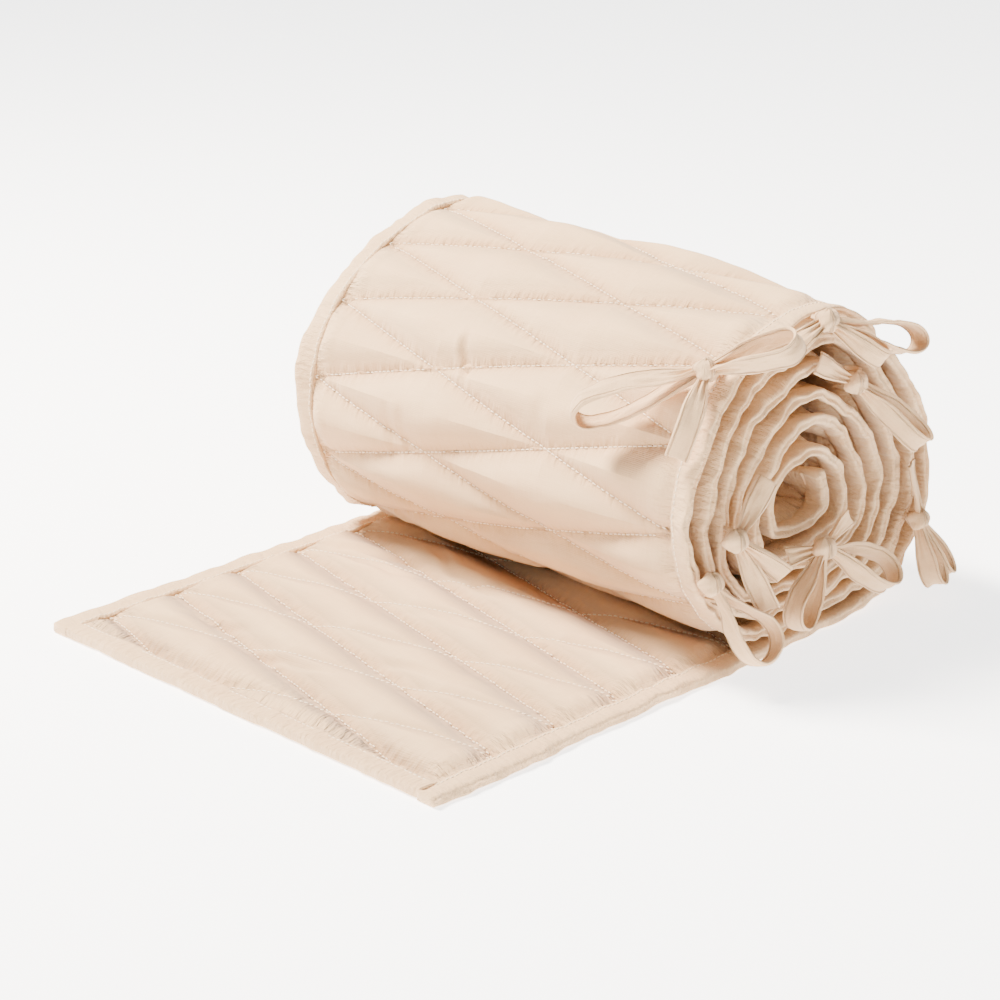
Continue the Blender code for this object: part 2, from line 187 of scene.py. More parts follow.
# The binding: the points of its section, where its fold starts, from 0 at the seam to 1 at the rim,
# how much it swells there and is pinched at its stitches, the lengths of its gathers, furrow and
# crinkles, and the shares of its furrow and crinkles that are left where it lies on the floor
FLAT_POINTS = 7
FOLD_POINTS = 9
FOLD_START = 0.84
FOLD_ROUNDNESS = 0.6
FOLD_SWELL = 0.22
SWELL_POWER = 2.2
SEAM_PINCH = 0.30
PINCH_AT = 0.08
PINCH_REACH = 0.07
GATHER_AT = 0.1
GATHER_FADE = 0.35
SEAM_GATHER_LENGTH = 0.0048
END_GATHER_LENGTH = 0.0052
BROAD_GATHER_LENGTH = 0.010
END_BROAD_LENGTH = 0.011
CRINKLE_LENGTH = 0.0135
SHORT_CRINKLE_LENGTH = 0.0062
FURROW_LENGTH = 0.014
FURROW_WIDTH = 0.30
FURROW_ON_FLOOR = 0.2
CRINKLE_ON_FLOOR = 0.25
SLANT_LENGTH = 0.009
FOLD_UV = 0.003

# The stitches: the turns of the roll that are stitched, and a stitch's rings, each with its place
# along it as a share of its length, and its size and rise as shares of the thread's radius
STITCHED_FROM = 0.12
STITCHED_TO = 0.99
STITCH_RINGS = (
    {"at": -0.5, "size": 0.35, "rise": -0.5},
    {"at": -0.3, "size": 1.0, "rise": 0.35},
    {"at": 0.3, "size": 1.0, "rise": 0.35},
    {"at": 0.5, "size": 0.35, "rise": -0.5},
)
# The long seams run at this share of the way from the panel to the rim. The flap's end seam runs
# this far outside the panel, at this share of the binding's height, and stops short of the corners
SEAM_SHARE = 0.13
END_SEAM_OUT = 0.0008
END_SEAM_RISE = 0.74
END_SEAM_CLEAR = 0.003
# The quilting's stitches start this far inside the panel's end, and a short step along a seam gives
# its direction
QUILTING_CLEAR = 0.001
PROBE = 0.0008

# The ties' tape: its width and thickness, the distance of its sewn lines from its middle, and the
# room that each strand has in the cloth's coordinates
MM = 0.001
TAPE_WIDTH = 0.012
TAPE_THICK = 0.0011
TAPE_HEM = 0.0046
TAPE_SPACING = 0.02
# The lengths of its curls and dents, the pleats on half its width in radians, and how they fade
TAPE_CURL_LENGTH = 0.03
TAPE_DENTS = 0.012
TAPE_SMALL_DENTS = 0.0055
PLEAT_WAVE = 8.5
PLEAT_FADE = 0.8
# Its thicker hem, its place and width as shares of half the tape's width, and the tape's thin edge
HEM_RISE = 0.5
HEM_AT = 0.86
HEM_WIDTH = 0.09
EDGE_THIN = 0.45
# The powers of a loop's leaf shape, and how many tapes' thicknesses its two ends lie to each side
LEAF_POWER = 0.9
OPENING_POWER = 0.4
TAPES_APART = 1.2
# The knots: their radii, how far from the middle a strand starts, how near to the poles the rings
# go, their rings and sides, and the waves of the wrapped cloth
KNOT_SIZE = (0.0060, 0.0070, 0.0058)
KNOT_START = 0.0011
KNOT_POLE = 0.06
KNOT_RINGS = 17
KNOT_SIDES = 24
KNOT_WAVES = (0.09, 0.06)
KNOT_UV = 0.006
# The roots: the gap to the edge that they are sewn to, and their sections
ROOT_GAP = 0.0005
ROOT_SECTIONS = 6
# Each tie's knot in millimetres, and the turn of the roll from whose edge it comes
TIES = (
    {"tie": "a", "turn": 0.62, "x": 137, "y": -79, "z": 158},
    {"tie": "b", "turn": 0.51, "x": 163, "y": -16, "z": 175},
    {"tie": "c", "turn": 2.43, "x": 160, "y": 15, "z": 136},
    {"tie": "d", "turn": 4.97, "x": 167, "y": -17, "z": 57},
    {"tie": "e", "turn": 2.76, "x": 163, "y": -86, "z": 78},
    {"tie": "f", "turn": 0.81, "x": 159, "y": -99, "z": 58},
    {"tie": "g", "turn": 1.18, "x": 160, "y": 80, "z": 46},
)
# Each loop or tail of a tie. Its tip is given from the knot, in millimetres to the right, up and
# near, seen along TIE_FRONT. face turns the tape's width from flat to that view, in degrees, open
# is a loop's opening, and bow is how far the middle stands out towards the viewer.
STRANDS = (
    {"tie": "a", "kind": "loop", "right": -64, "up": -21, "near": -20, "face": 52, "open": 23, "bow": 2},
    {"tie": "a", "kind": "loop", "right": 43, "up": 12, "near": 17, "face": 38, "open": 19, "bow": 3},
    {"tie": "a", "kind": "tail", "right": -15, "up": -43, "near": 7, "face": 0, "open": 0, "bow": 9},
    {"tie": "b", "kind": "loop", "right": 52, "up": -8, "near": -45, "face": 82, "open": 16, "bow": 0},
    {"tie": "b", "kind": "loop", "right": 29, "up": -18, "near": -9, "face": 30, "open": 9, "bow": 0},
    {"tie": "b", "kind": "tail", "right": -18, "up": -13, "near": 12, "face": 15, "open": 0, "bow": 3},
    {"tie": "c", "kind": "loop", "right": 37, "up": -29, "near": -22, "face": 35, "open": 13, "bow": 0},
    {"tie": "c", "kind": "tail", "right": -21, "up": 9, "near": 20, "face": 10, "open": 0, "bow": 0},
    {"tie": "d", "kind": "loop", "right": 38, "up": -15, "near": -28, "face": 50, "open": 20, "bow": 0},
    {"tie": "d", "kind": "loop", "right": -14, "up": -39, "near": 8, "face": 35, "open": 19, "bow": 0},
    {"tie": "d", "kind": "tail", "right": 14, "up": 16, "near": -8, "face": 45, "open": 0, "bow": 0},
    {"tie": "d", "kind": "tail", "right": -19, "up": -4, "near": 9, "face": 10, "open": 0, "bow": 0},
    {"tie": "e", "kind": "tail", "right": 17, "up": 30, "near": -8, "face": 10, "open": 0, "bow": 0},
    {"tie": "e", "kind": "tail", "right": 25, "up": -17, "near": -12, "face": 30, "open": 0, "bow": 0},
    {"tie": "e", "kind": "tail", "right": 18, "up": -34, "near": -20, "face": 10, "open": 0, "bow": 1},
    {"tie": "f", "kind": "loop", "right": 31, "up": -36, "near": -15, "face": 60, "open": 27, "bow": 0},
    {"tie": "g", "kind": "loop", "right": 10, "up": -33, "near": -5, "face": 35, "open": 9, "bow": 0},
    {"tie": "g", "kind": "loop", "right": 16, "up": -28, "near": -12, "face": 35, "open": 8, "bow": 0},
    {"tie": "g", "kind": "tail", "right": -6, "up": 30, "near": 12, "face": 68, "open": 0, "bow": 0},
)
# The view that the ties' tips are given in: towards the viewer, and to the viewer's right
TIE_FRONT = (0.633, -0.706, 0.318)
TIE_RIGHT = (0.745, 0.667, 0.0)

# Camera, lights and floor
CAMERA_PLACE = (0.936, -1.1208, 0.5307)
CAMERA_AZIMUTH = math.radians(41.86)
CAMERA_ELEVATION = math.radians(18.55)
CAMERA_LENS = 100.8
CAMERA_SENSOR = 36
CAMERA_CLIP = (0.01, 100)
KEY_COLOUR = (1.0, 0.925, 0.83)
ROOM_COLOUR = (0.95, 0.98, 1.0, 1.0)
FLOOR_SIZE = 30
FLOOR_DROP = 0.0004
KEY_PLACE = (-0.8, -0.45, 1.65)
FRONT_PLACE = (1.3, -1.0, 0.9)
LIGHTS_AIM = (0.0, -0.05, 0.07)

# Tones that the cloth's colour is multiplied by: in its slubs, and as painted shade along the sewn lines
# and in the quilting's valleys
SLUB_SHADE = (0.82, 0.73, 0.66, 1.0)
SEWN_LINE_PAINTED_SHADE = (0.62, 0.48, 0.38, 1.0)
VALLEY_PAINTED_SHADE = (0.72, 0.60, 0.50, 1.0)

# Finishes: dull cotton with a faint sheen of fuzz, its smoother sewing thread, and the floor
COTTON_FINISH = {
    "Roughness": 0.92,
    "Specular IOR Level": 0.2,
    "Sheen Weight": 0.2,
    "Sheen Roughness": 0.6,
    "Sheen Tint": (1.0, 0.93, 0.86, 1.0),
}
THREAD_FINISH = {"Roughness": 0.7}
FLOOR_FINISH = {
    "Base Color": (0.95, 0.948, 0.945, 1.0),
    "Roughness": 0.8,
    "Specular IOR Level": 0.1,
    "Emission Color": (0.98, 0.99, 1.0, 1.0),
}

# The weave: the spread of its uneven colour, its slubs, thin one way and long the other, and how its
# threads wander
MOTTLE_SCALE = 22.0
SLUB_THIN = 1500.0
SLUB_LONG = 90.0
SLUB_DARKENING = 0.30
SLUB_RISE = 1.6
WEAVE_DEPTH = 0.00025
THREAD_WANDER = {"Distortion": 1.2, "Detail": 2.0, "Detail Scale": 0.6}

# The look of a quilting line: the sewn line and the valley round it, both with painted shade, and the
# pillow beyond. Between two places along the strip the flap's fuller pillows and fainter second lines give
# way to the roll's
SEWN_LINE_WIDTH = 0.0014
SEWN_LINE_PAINTED_SHADE_SHARE = 0.28
SEWN_LINE_DEPTH = 0.0004
VALLEY_REACH = 0.0085
VALLEY_POWER = 1.6
VALLEY_PAINTED_SHADE_SHARE = 0.55
PILLOW_REACH = 0.9
PILLOW_DEPTH = 0.0062
FLAP_PILLOW = 2.0
FULL_PILLOWS = (0.24, 0.29)
FLAP_TO_ROLL = (0.25, 0.30)
FAINT_LINE_OFF = 0.45
SMALL_CREASE_DEPTH = 0.0030

# The tapes' sewn lines, with their painted shade, and the wrinkles of the cloths that aren't quilted:
# how often they come across and along a metre, and how deep they are
HEM_PAINTED_SHADE_SHARE = 0.55
HEM_DEPTH = 0.0006
BINDING_WRINKLES = {"across": 120.0, "along": 300.0, "deep": 0.0026}
TIE_WRINKLES = {"across": 230.0, "along": 70.0, "deep": 0.0016}
THREAD_WRINKLES = {"across": 60.0, "along": 60.0, "deep": 0.0001}


# The strip's middle line


def outer_radius(angle):
    """Radius of the roll's outer surface: a sum of waves round the roll."""
    return sum(
        wave["cosine"] * np.cos(wave["waves"] * angle) + wave["sine"] * np.sin(wave["waves"] * angle)
        for wave in ROLL_WAVES
    )


def spiral_points(turn):
    """The middle line after each number of turns: a radius and a centre that both move to the core's."""
    angle = -math.pi / 2 + 2 * math.pi * turn
    share = turn / TURNS
    radius = (outer_radius(angle) - PADDED / 2) * (1 - share) + CORE_RADIUS * share
    y = OUTER_CENTRE[0] * (1 - share) + CORE_CENTRE[0] * share + radius * np.cos(angle)
    z = OUTER_CENTRE[1] * (1 - share) + CORE_CENTRE[1] * share + radius * np.sin(angle)
    return np.stack([y, np.maximum(z, PADDED / 2 + FLOOR_PITCH * turn), turn], axis=1)


def line_lengths(line):
    """The length of a line from its start to each of its points."""
    return np.concatenate([[0], np.cumsum(np.linalg.norm(np.diff(line[:, :2], axis=0), axis=1))])


def spaced(line, step):
    """The line again with points a step apart."""
    lengths = line_lengths(line)
    at = np.linspace(0, lengths[-1], int(round(lengths[-1] / step)) + 1)
    return np.stack([np.interp(at, lengths, line[:, k]) for k in range(line.shape[1])], axis=1)


def relaxed(line, passes):
    """The line smoothed: in each pass every point goes halfway to the middle of its neighbours."""
    for _ in range(passes):
        line[1:-1, :2] = line[1:-1, :2] / 2 + (line[:-2, :2] + line[2:, :2]) / 4
    return line


def middle_line():
    """The middle line from the flap's end to the core: columns y, z and turn."""
    y = np.arange(FLAP_END_Y, OUTER_CENTRE[0] - LINE_STEP, LINE_STEP)
    flap = np.stack([y, np.full_like(y, PADDED / 2), np.full_like(y, -1.0)], axis=1)
    wound = spiral_points(np.arange(0, TURNS, 1 / POINTS_PER_TURN))
    line = relaxed(spaced(np.concatenate([flap, wound]), LINE_STEP), FIRST_PASSES)
    return relaxed(spaced(spaced(line, LINE_STEP), LINE_STEP / 4), LAST_PASSES)


LINE = middle_line()
LENGTHS = line_lengths(LINE)
LENGTH = float(LENGTHS[-1])
TANGENTS = np.gradient(LINE[:, :2], axis=0)
TANGENTS /= np.linalg.norm(TANGENTS, axis=1)[:, None]


def at_turn(turn):
    """How far along the strip a turn of the roll is."""
    start = int(np.argmax(LINE[:, 2] >= 0))
    return float(np.interp(turn, LINE[start:, 2], LENGTHS[start:]))


def place(u, s, h):
    """The strip's points at u across, s along and h outwards from its middle surface."""
    u, s, h = np.broadcast_arrays(u, s, h)
    y = np.interp(s, LENGTHS, LINE[:, 0])
    z = np.interp(s, LENGTHS, LINE[:, 1])
    along_y = np.interp(s, LENGTHS, TANGENTS[:, 0])
    along_z = np.interp(s, LENGTHS, TANGENTS[:, 1])
    level, height = y + h * along_z, z - h * along_y
    looseness = 1 - np.clip(u / HEIGHT + 0.5, 0, 1) ** LOOSE_POWER
    spread = (level - LIFT_Y) / LIFT_REACH
    lift = LIFT * looseness * np.exp(-(spread**2)) * (height / LIFT_HEIGHT) ** 2
    return np.stack([u, level - RACK * u, height + lift], axis=-1)


def outward(s):
    """The direction of growing h at each s, with its world coordinates last."""
    along_y = np.interp(s, LENGTHS, TANGENTS[:, 0])
    along_z = np.interp(s, LENGTHS, TANGENTS[:, 1])
    return np.stack([np.zeros_like(along_y), along_z, -along_y], axis=-1)


# Noise


def noise_1d(x, seed):
    """Smooth noise from -1 to 1: random values at whole numbers, eased between them."""
    table = np.random.default_rng(seed).uniform(-1, 1, NOISE_TABLE)
    low = np.floor(x).astype(int)
    t = eased(x - low)
    return table[low % NOISE_TABLE] * (1 - t) + table[(low + 1) % NOISE_TABLE] * t


def noise_2d(x, y, seed):
    """Smooth noise from -1 to 1: random values at whole grid points, eased between them."""
    table = np.random.default_rng(seed).uniform(-1, 1, (NOISE_GRID, NOISE_GRID))
    low_x, low_y = np.floor(x).astype(int), np.floor(y).astype(int)
    tx, ty = eased(x - low_x), eased(y - low_y)
    this_x, next_x = low_x % NOISE_GRID, (low_x + 1) % NOISE_GRID
    this_y, next_y = low_y % NOISE_GRID, (low_y + 1) % NOISE_GRID
    near = table[this_x, this_y] * (1 - tx) + table[next_x, this_y] * tx
    far = table[this_x, next_y] * (1 - tx) + table[next_x, next_y] * tx
    return near * (1 - ty) + far * ty


def eased(x):
    """A smooth step from 0 at 0 to 1 at 1."""
    x = np.clip(x, 0, 1)
    return x * x * (3 - 2 * x)


# The quilted relief


def on_floor(s):
    """1 where the strip lies on the floor, fading to 0 where it starts to rise."""
    return np.interp(s, (at_turn(LIES_UNTIL), at_turn(CLEAR_FROM)), (1.0, 0.0))


def quilt_families(u, s):
    """For each of the two families of quilting lines: its number, distance to it and place along it."""
    across = (u + EDGE) / HALF_LONG
    along = (s - QUILT_PHASE) / HALF_SHORT
    found = []
    for sign in (1, -1):
        value = along + sign * across
        number = np.round(value / 2)
        distance = np.abs(value - 2 * number) * LINE_UNIT
        found.append((number, distance, u * math.hypot(HALF_LONG, HALF_SHORT) / HALF_LONG))
    return found


def creases(u, s, side):
    """Depth of the pressed creases: a Gaussian trough beside a lower ridge, fading along its way."""
    total = np.zeros_like(u)
    for row in (r for r in CREASES if r["face"] == side):
        way = math.radians(row["way"])
        along = (u - row["u"]) * math.cos(way) + (s - row["s"]) * math.sin(way)
        off = (s - row["s"]) * math.cos(way) - (u - row["u"]) * math.sin(way)
        off = (off + CREASE_BEND * np.sin(along / CREASE_BEND_LENGTH)) / row["wide"]
        shape = np.exp(-(off**2)) - CREASE_RIDGE * np.exp(-((off - CREASE_RIDGE_AT) ** 2))
        total += row["deep"] * shape * np.exp(-((along / row["long"]) ** 4))
    return total


def relief(u, s, side, look, seed):
    """How far the cloth lies below the padded crown, in metres.

    Each quilting line is a valley: a narrow dip plus a broad one that reaches the next line. The
    two families join as 1 - (1 - a)(1 - b). Short gathers cross each line, and die away from it.
    The seams along the binding draw the cloth down in the same way. Numbers added inside a noise
    only keep the lines' gathers unlike each other.
    """
    open_share = np.ones_like(u)
    gathers = np.zeros_like(u)
    for family, (number, distance, along) in enumerate(quilt_families(u, s)):
        narrow = np.exp(-((distance / look.valley_width) ** NARROW_POWER))
        broad = np.clip(1 - distance / LINE_UNIT, 0, 1) ** BROAD_POWER
        second = look.second_family if side > 0 else look.faint_family
        weight = 1.0 if family == 0 else second
        open_share *= 1 - weight * (NARROW_SHARE * narrow + (1 - NARROW_SHARE) * broad)
        wave = noise_1d(along / look.gather_length + number * 37.7, seed + family)
        wave += 0.5 * noise_1d(along / look.gather_length * 2.3 + number * 11.3, seed + 5 + family)
        patch = noise_1d(along / PATCH_LENGTH + number * 91.1, seed + 9)
        gathers += wave * (0.6 + 0.4 * patch) * np.exp(-distance / look.gather_reach) * weight
    height = look.dip * (1 - open_share) - look.crown * open_share
    for edge, offset in ((EDGE - u, 0.0), (EDGE + u, 400.0)):
        pull = noise_1d(s / look.gather_length + offset, seed + 20)
        gathers += SEAM_GATHERS * pull * np.exp(-edge / look.seam_reach)
    end = s - BAND
    pull = noise_1d(u / look.gather_length * 0.9, seed + 21) + 0.6 * noise_1d(u / 0.0045, seed + 22)
    drawn_up = DRAWN_UP_LEAST + DRAWN_UP_MORE * eased(1 - np.abs(u - DRAWN_UP_AT) / DRAWN_UP_REACH)
    gathers += 0.85 * pull * drawn_up * np.exp(-end / (look.seam_reach * END_SEAM_REACH)) * (end > -MM)
    loose = np.zeros_like(u)
    for k, row in enumerate(LOOSE_WAVES):
        across = u / row["across"] + row["across_start"]
        along = s / row["along"] + row["along_start"]
        loose += row["height"] * noise_2d(across, along, seed + 30 + k)
    return height + look.gather_depth * gathers + look.slack * loose * open_share + creases(u, s, side)


def face_height(u, s, side, look):
    """Distance of the panel's outer (1) or inner (-1) face from the middle surface."""
    flat = on_floor(s) * (side > 0)
    drawn = relief(u, s, side, look, FACE_SEEDS[side]) * (1 - flat)
    edge = np.minimum(EDGE - np.abs(u), s - BAND)
    under = PADDED / 2 - BOUND / 2 + look.tuck + (bound_lift(s) if side < 0 else 0)
    fall = under * (1 - eased(edge / FALL_REACH)) ** FALL_POWER * (1 - flat)
    drawn = drawn * (EDGE_RELIEF + (1 - EDGE_RELIEF) * eased(edge / FADE_REACH))
    return PADDED / 2 - np.clip(drawn + fall, -HIGHEST_RISE, PADDED * DEEPEST_SHARE)


# Mesh building


def grid_faces(rows, columns, start, turned):
    """The quads of a grid whose points are numbered row by row from start."""
    corner = (np.arange(rows - 1)[:, None] * columns + np.arange(columns - 1)[None, :] + start).ravel()
    quads = np.stack([corner, corner + 1, corner + columns + 1, corner + columns], axis=1)
    return quads[:, ::-1] if turned else quads


def mesh_object(name, points, quads, polygons, material, uv):
    """An object from points, quads and larger polygons, with its faces outwards and its own UV map."""
    mesh = bpy.data.meshes.new(name)
    faces = quads.tolist() + [list(polygon) for polygon in polygons]
    mesh.from_pydata(points.tolist(), [], faces)
    layer = mesh.uv_layers.new(name="cloth")
    loops = np.zeros(len(mesh.loops), np.int32)
    mesh.loops.foreach_get("vertex_index", loops)
    layer.data.foreach_set("uv", uv[loops].astype(np.float32).ravel())
    shell = bmesh.new()
    shell.from_mesh(mesh)
    bmesh.ops.recalc_face_normals(shell, faces=shell.faces)
    if shell.calc_volume(signed=True) < 0:
        bmesh.ops.reverse_faces(shell, faces=shell.faces)
    shell.to_mesh(mesh)
    shell.free()
    mesh.shade_smooth()
    item = bpy.data.objects.new(name, mesh)
    item.data.materials.append(material)
    bpy.context.scene.collection.objects.link(item)
    return item


def slab(name, s_rows, outer_columns, inner_columns, look, material):
    """A closed length of the padded panel: an outer and an inner grid, joined along their edges.

    The outer grid is place(u, s, height) and the inner one place(u, s, -height), each with its own
    columns. The two ends are closed by one polygon each.
    """
    grids, uvs, starts, counts = [], [], [], []
    start = 0
    for side, columns in ((1, outer_columns), (-1, inner_columns)):
        u, s = np.meshgrid(columns, s_rows)
        height = face_height(u, s, side, look)
        grids.append(place(u, s, side * height).reshape(-1, 3))
        uvs.append(np.stack([u, s], axis=-1).reshape(-1, 2))
        starts.append(start)
        counts.append(len(columns))
        start += u.size
    rows = len(s_rows)
    quads = [grid_faces(rows, counts[k], starts[k], k == 1) for k in (0, 1)]
    row = np.arange(rows)
    for end in (0, 1):
        outer = starts[0] + row * counts[0] + (counts[0] - 1) * end
        inner = starts[1] + row * counts[1] + (counts[1] - 1) * end
        wall = np.stack([outer[:-1], outer[1:], inner[1:], inner[:-1]], axis=1)
        quads.append(wall if end else wall[:, ::-1])
    caps = []
    for at in (0, rows - 1):
        outer = starts[0] + at * counts[0] + np.arange(counts[0])
        inner = starts[1] + at * counts[1] + np.arange(counts[1])
        caps.append(np.concatenate([outer, inner[::-1]]).tolist())
    points = np.concatenate(grids)
    return mesh_object(name, points, np.concatenate(quads), caps, material, np.concatenate(uvs))


def tube(name, sections, material, uv):
    """A closed surface through a stack of closed sections: array of sections, points, 3."""
    count, around = sections.shape[:2]
    row = np.arange(count - 1)[:, None] * around
    k = np.arange(around)[None, :]
    following = (k + 1) % around
    quads = np.stack([row + k, row + following, row + around + following, row + around + k], axis=-1)
    caps = [list(range(around)), list(range((count - 1) * around, count * around))]
    points = sections.reshape(-1, 3)
    return mesh_object(name, points, quads.reshape(-1, 4), caps, material, uv.reshape(-1, 2))


# Materials


def node(tree, kind, **values):
    """A new shader node with the settings given."""
    made = tree.nodes.new(kind)
    for key, value in values.items():
        setattr(made, key, value)
    return made


def set_inputs(made, values):
    """Set a node's inputs by name."""
    for name, value in values.items():
        made.inputs[name].default_value = value


def mix(tree, kind, factor, first, second):
    """A colour mix of two inputs, each a socket or a constant."""
    made = node(tree, "ShaderNodeMix", data_type="RGBA", blend_type=kind)
    for name, value in (("Factor", factor), ("A", first), ("B", second)):
        socket = next(i for i in made.inputs if i.name == name and (name == "Factor" or i.type == "RGBA"))
        if isinstance(value, bpy.types.NodeSocket):
            tree.links.new(value, socket)
        else:
            socket.default_value = value
    return next(o for o in made.outputs if o.type == "RGBA")


def noise_socket(tree, vector, scale, detail, roughness=0.5):
    """Noise from 0 to 1 over the vector."""
    made = node(tree, "ShaderNodeTexNoise")
    set_inputs(made, {"Scale": scale, "Detail": detail, "Roughness": roughness})
    tree.links.new(vector, made.inputs["Vector"])
    return made.outputs["Fac"]


def ramp(tree, value, low, high, bottom, top):
    """A straight ramp from bottom, at a value of low, to top, at a value of high, and level beyond."""
    made = node(tree, "ShaderNodeMapRange")
    set_inputs(made, {"From Min": low, "From Max": high, "To Min": bottom, "To Max": top})
    tree.links.new(value, made.inputs["Value"])
    return made.outputs["Result"]


def thread_wave(tree, vector, pitch, direction):
    """Threads of a plain weave: a sine along the cloth's u (X) or s (Y)."""
    made = node(tree, "ShaderNodeTexWave", wave_type="BANDS", bands_direction=direction)
    set_inputs(made, {"Scale": 2 * math.pi / pitch / 20, **THREAD_WANDER})
    tree.links.new(vector, made.inputs["Vector"])
    return made.outputs["Fac"]


def math_socket(tree, operation, first, second=None, third=None):
    """A Math node's result; each input is a socket or a constant."""
    made = node(tree, "ShaderNodeMath", operation=operation)
    for socket, value in zip(made.inputs, (first, second, third)):
        if isinstance(value, bpy.types.NodeSocket):
            tree.links.new(value, socket)
        elif value is not None:
            socket.default_value = value
    return made.outputs[0]


def stretched(tree, uv, across, along):
    """The cloth's coordinates multiplied, so that a noise over them is drawn out one way."""
    made = node(tree, "ShaderNodeVectorMath", operation="MULTIPLY")
    made.inputs[1].default_value = (across, along, 1.0)
    tree.links.new(uv, made.inputs[0])
    return made.outputs[0]


def raised_by(tree, height, strength, distance, normal=None):
    """The normal of a surface raised by a height from 0 to 1, times a distance, on top of a normal."""
    made = node(tree, "ShaderNodeBump")
    set_inputs(made, {"Strength": strength, "Distance": distance})
    tree.links.new(height, made.inputs["Height"])
    if normal is not None:
        tree.links.new(normal, made.inputs["Normal"])
    return made.outputs["Normal"]


def seam_nearness(tree, uv):
    """Distances on the panel: to the nearest quilting line, to the long seams, and to the flap's seam."""
    parts = node(tree, "ShaderNodeSeparateXYZ")
    tree.links.new(uv, parts.inputs[0])
    u, s = parts.outputs[0], parts.outputs[1]
    across = math_socket(tree, "MULTIPLY_ADD", u, 1 / HALF_LONG, EDGE / HALF_LONG)
    along = math_socket(tree, "MULTIPLY_ADD", s, 1 / HALF_SHORT, -QUILT_PHASE / HALF_SHORT)
    one = math_socket(tree, "PINGPONG", math_socket(tree, "ADD", along, across), 1.0)
    other = math_socket(tree, "PINGPONG", math_socket(tree, "SUBTRACT", along, across), 1.0)
    other = math_socket(tree, "ADD", other, ramp(tree, s, *FLAP_TO_ROLL, FAINT_LINE_OFF, 0.0))
    quilting = math_socket(tree, "MULTIPLY", math_socket(tree, "MINIMUM", one, other), LINE_UNIT)
    sides = math_socket(tree, "SUBTRACT", EDGE, math_socket(tree, "ABSOLUTE", u))
    return quilting, sides, math_socket(tree, "SUBTRACT", s, BAND)


def with_painted_shade(tree, base, mask, share, tone):
    """Painted shade: a colour multiplied by a tone where a mask says, by a share of it."""
    return mix(tree, "MULTIPLY", math_socket(tree, "MULTIPLY", mask, share), base, tone)


def woven(tree, uv, colour, shade, thread, bump):
    """Plain weave: soft uneven colour, slubs that run both ways, and threads as bump."""
    mottled = ramp(tree, noise_socket(tree, uv, MOTTLE_SCALE, 3.0), 0.3, 0.7, 0.0, 1.0)
    base = mix(tree, "MIX", mottled, colour, shade)
    warp_slub = noise_socket(tree, stretched(tree, uv, SLUB_THIN, SLUB_LONG), 1.0, 2.0, 0.6)
    weft_slub = noise_socket(tree, stretched(tree, uv, SLUB_LONG, SLUB_THIN), 1.0, 2.0, 0.6)
    slubs = math_socket(tree, "ADD", warp_slub, weft_slub)
    base = mix(tree, "MULTIPLY", ramp(tree, slubs, 0.8, 1.3, 0.0, SLUB_DARKENING), base, SLUB_SHADE)
    warp = thread_wave(tree, uv, thread, "X")
    weft = thread_wave(tree, uv, thread, "Y")
    threads = math_socket(tree, "MAXIMUM", warp, weft)
    weave = math_socket(tree, "MULTIPLY_ADD", slubs, SLUB_RISE, threads)
    return base, raised_by(tree, weave, bump, WEAVE_DEPTH)


def quilted(tree, uv, base, normal):
    """Quilting on the weave: a sewn line and its valley, both with painted shade, pillows between lines,
    and small creases.
    """
    crease = noise_socket(tree, stretched(tree, uv, 110.0, 330.0), 1.0, 3.0, 0.55)
    quilting, sides, end = seam_nearness(tree, uv)
    line = ramp(tree, quilting, 0.0001, SEWN_LINE_WIDTH, 1.0, 0.0)
    # Painted shade: the cloth is darkened along each sewn quilting line, where its groove lies in shade
    base = with_painted_shade(tree, base, line, SEWN_LINE_PAINTED_SHADE_SHARE, SEWN_LINE_PAINTED_SHADE)
    # Painted shade: a broad darker band in the valley round each quilting line
    valley = math_socket(tree, "POWER", ramp(tree, quilting, 0.0, VALLEY_REACH, 1.0, 0.0), VALLEY_POWER)
    base = with_painted_shade(tree, base, valley, VALLEY_PAINTED_SHADE_SHARE, VALLEY_PAINTED_SHADE)
    normal = raised_by(tree, math_socket(tree, "POWER", line, 1.3), 1.0, -SEWN_LINE_DEPTH, normal)
    quarter = ramp(tree, quilting, 0.0, PILLOW_REACH * LINE_UNIT, 0.0, math.pi / 2)
    fuller = ramp(tree, end, *FULL_PILLOWS, FLAP_PILLOW, 1.0)
    pillow = math_socket(tree, "MULTIPLY", math_socket(tree, "SINE", quarter), fuller)
    normal = raised_by(tree, pillow, 1.0, PILLOW_DEPTH, normal)
    crossing = noise_socket(tree, stretched(tree, uv, 300.0, 95.0), 1.0, 2.0, 0.5)
    near_quilting = ramp(tree, quilting, 0.0, 0.007, 1.0, 0.0)
    near_line = math_socket(tree, "MAXIMUM", near_quilting, ramp(tree, end, 0.0, 0.022, 1.1, 0.0))
    near_side = ramp(tree, sides, 0.0, 0.016, 1.2, 0.0)
    lines = math_socket(tree, "MULTIPLY", math_socket(tree, "POWER", near_line, 1.4), crossing)
    height = math_socket(tree, "MULTIPLY_ADD", near_side, crease, lines)
    return base, raised_by(tree, height, 1.0, SMALL_CREASE_DEPTH, normal)


def hemmed(tree, uv, base, normal, hem):
    """A sewn line on both sides of the tape's middle, as far from it as the hem says, with painted shade
    along it.
    """
    parts = node(tree, "ShaderNodeSeparateXYZ")
    tree.links.new(uv, parts.inputs[0])
    across = math_socket(tree, "WRAP", parts.outputs[0], -TAPE_SPACING / 2, TAPE_SPACING / 2)
    inwards = math_socket(tree, "SUBTRACT", math_socket(tree, "ABSOLUTE", across), hem)
    sewn = ramp(tree, math_socket(tree, "ABSOLUTE", inwards), 0.0001, 0.0005, 1.0, 0.0)
    # Painted shade: the tape is darkened along its sewn lines
    base = with_painted_shade(tree, base, sewn, HEM_PAINTED_SHADE_SHARE, SEWN_LINE_PAINTED_SHADE)
    return base, raised_by(tree, sewn, 1.0, -HEM_DEPTH, normal)


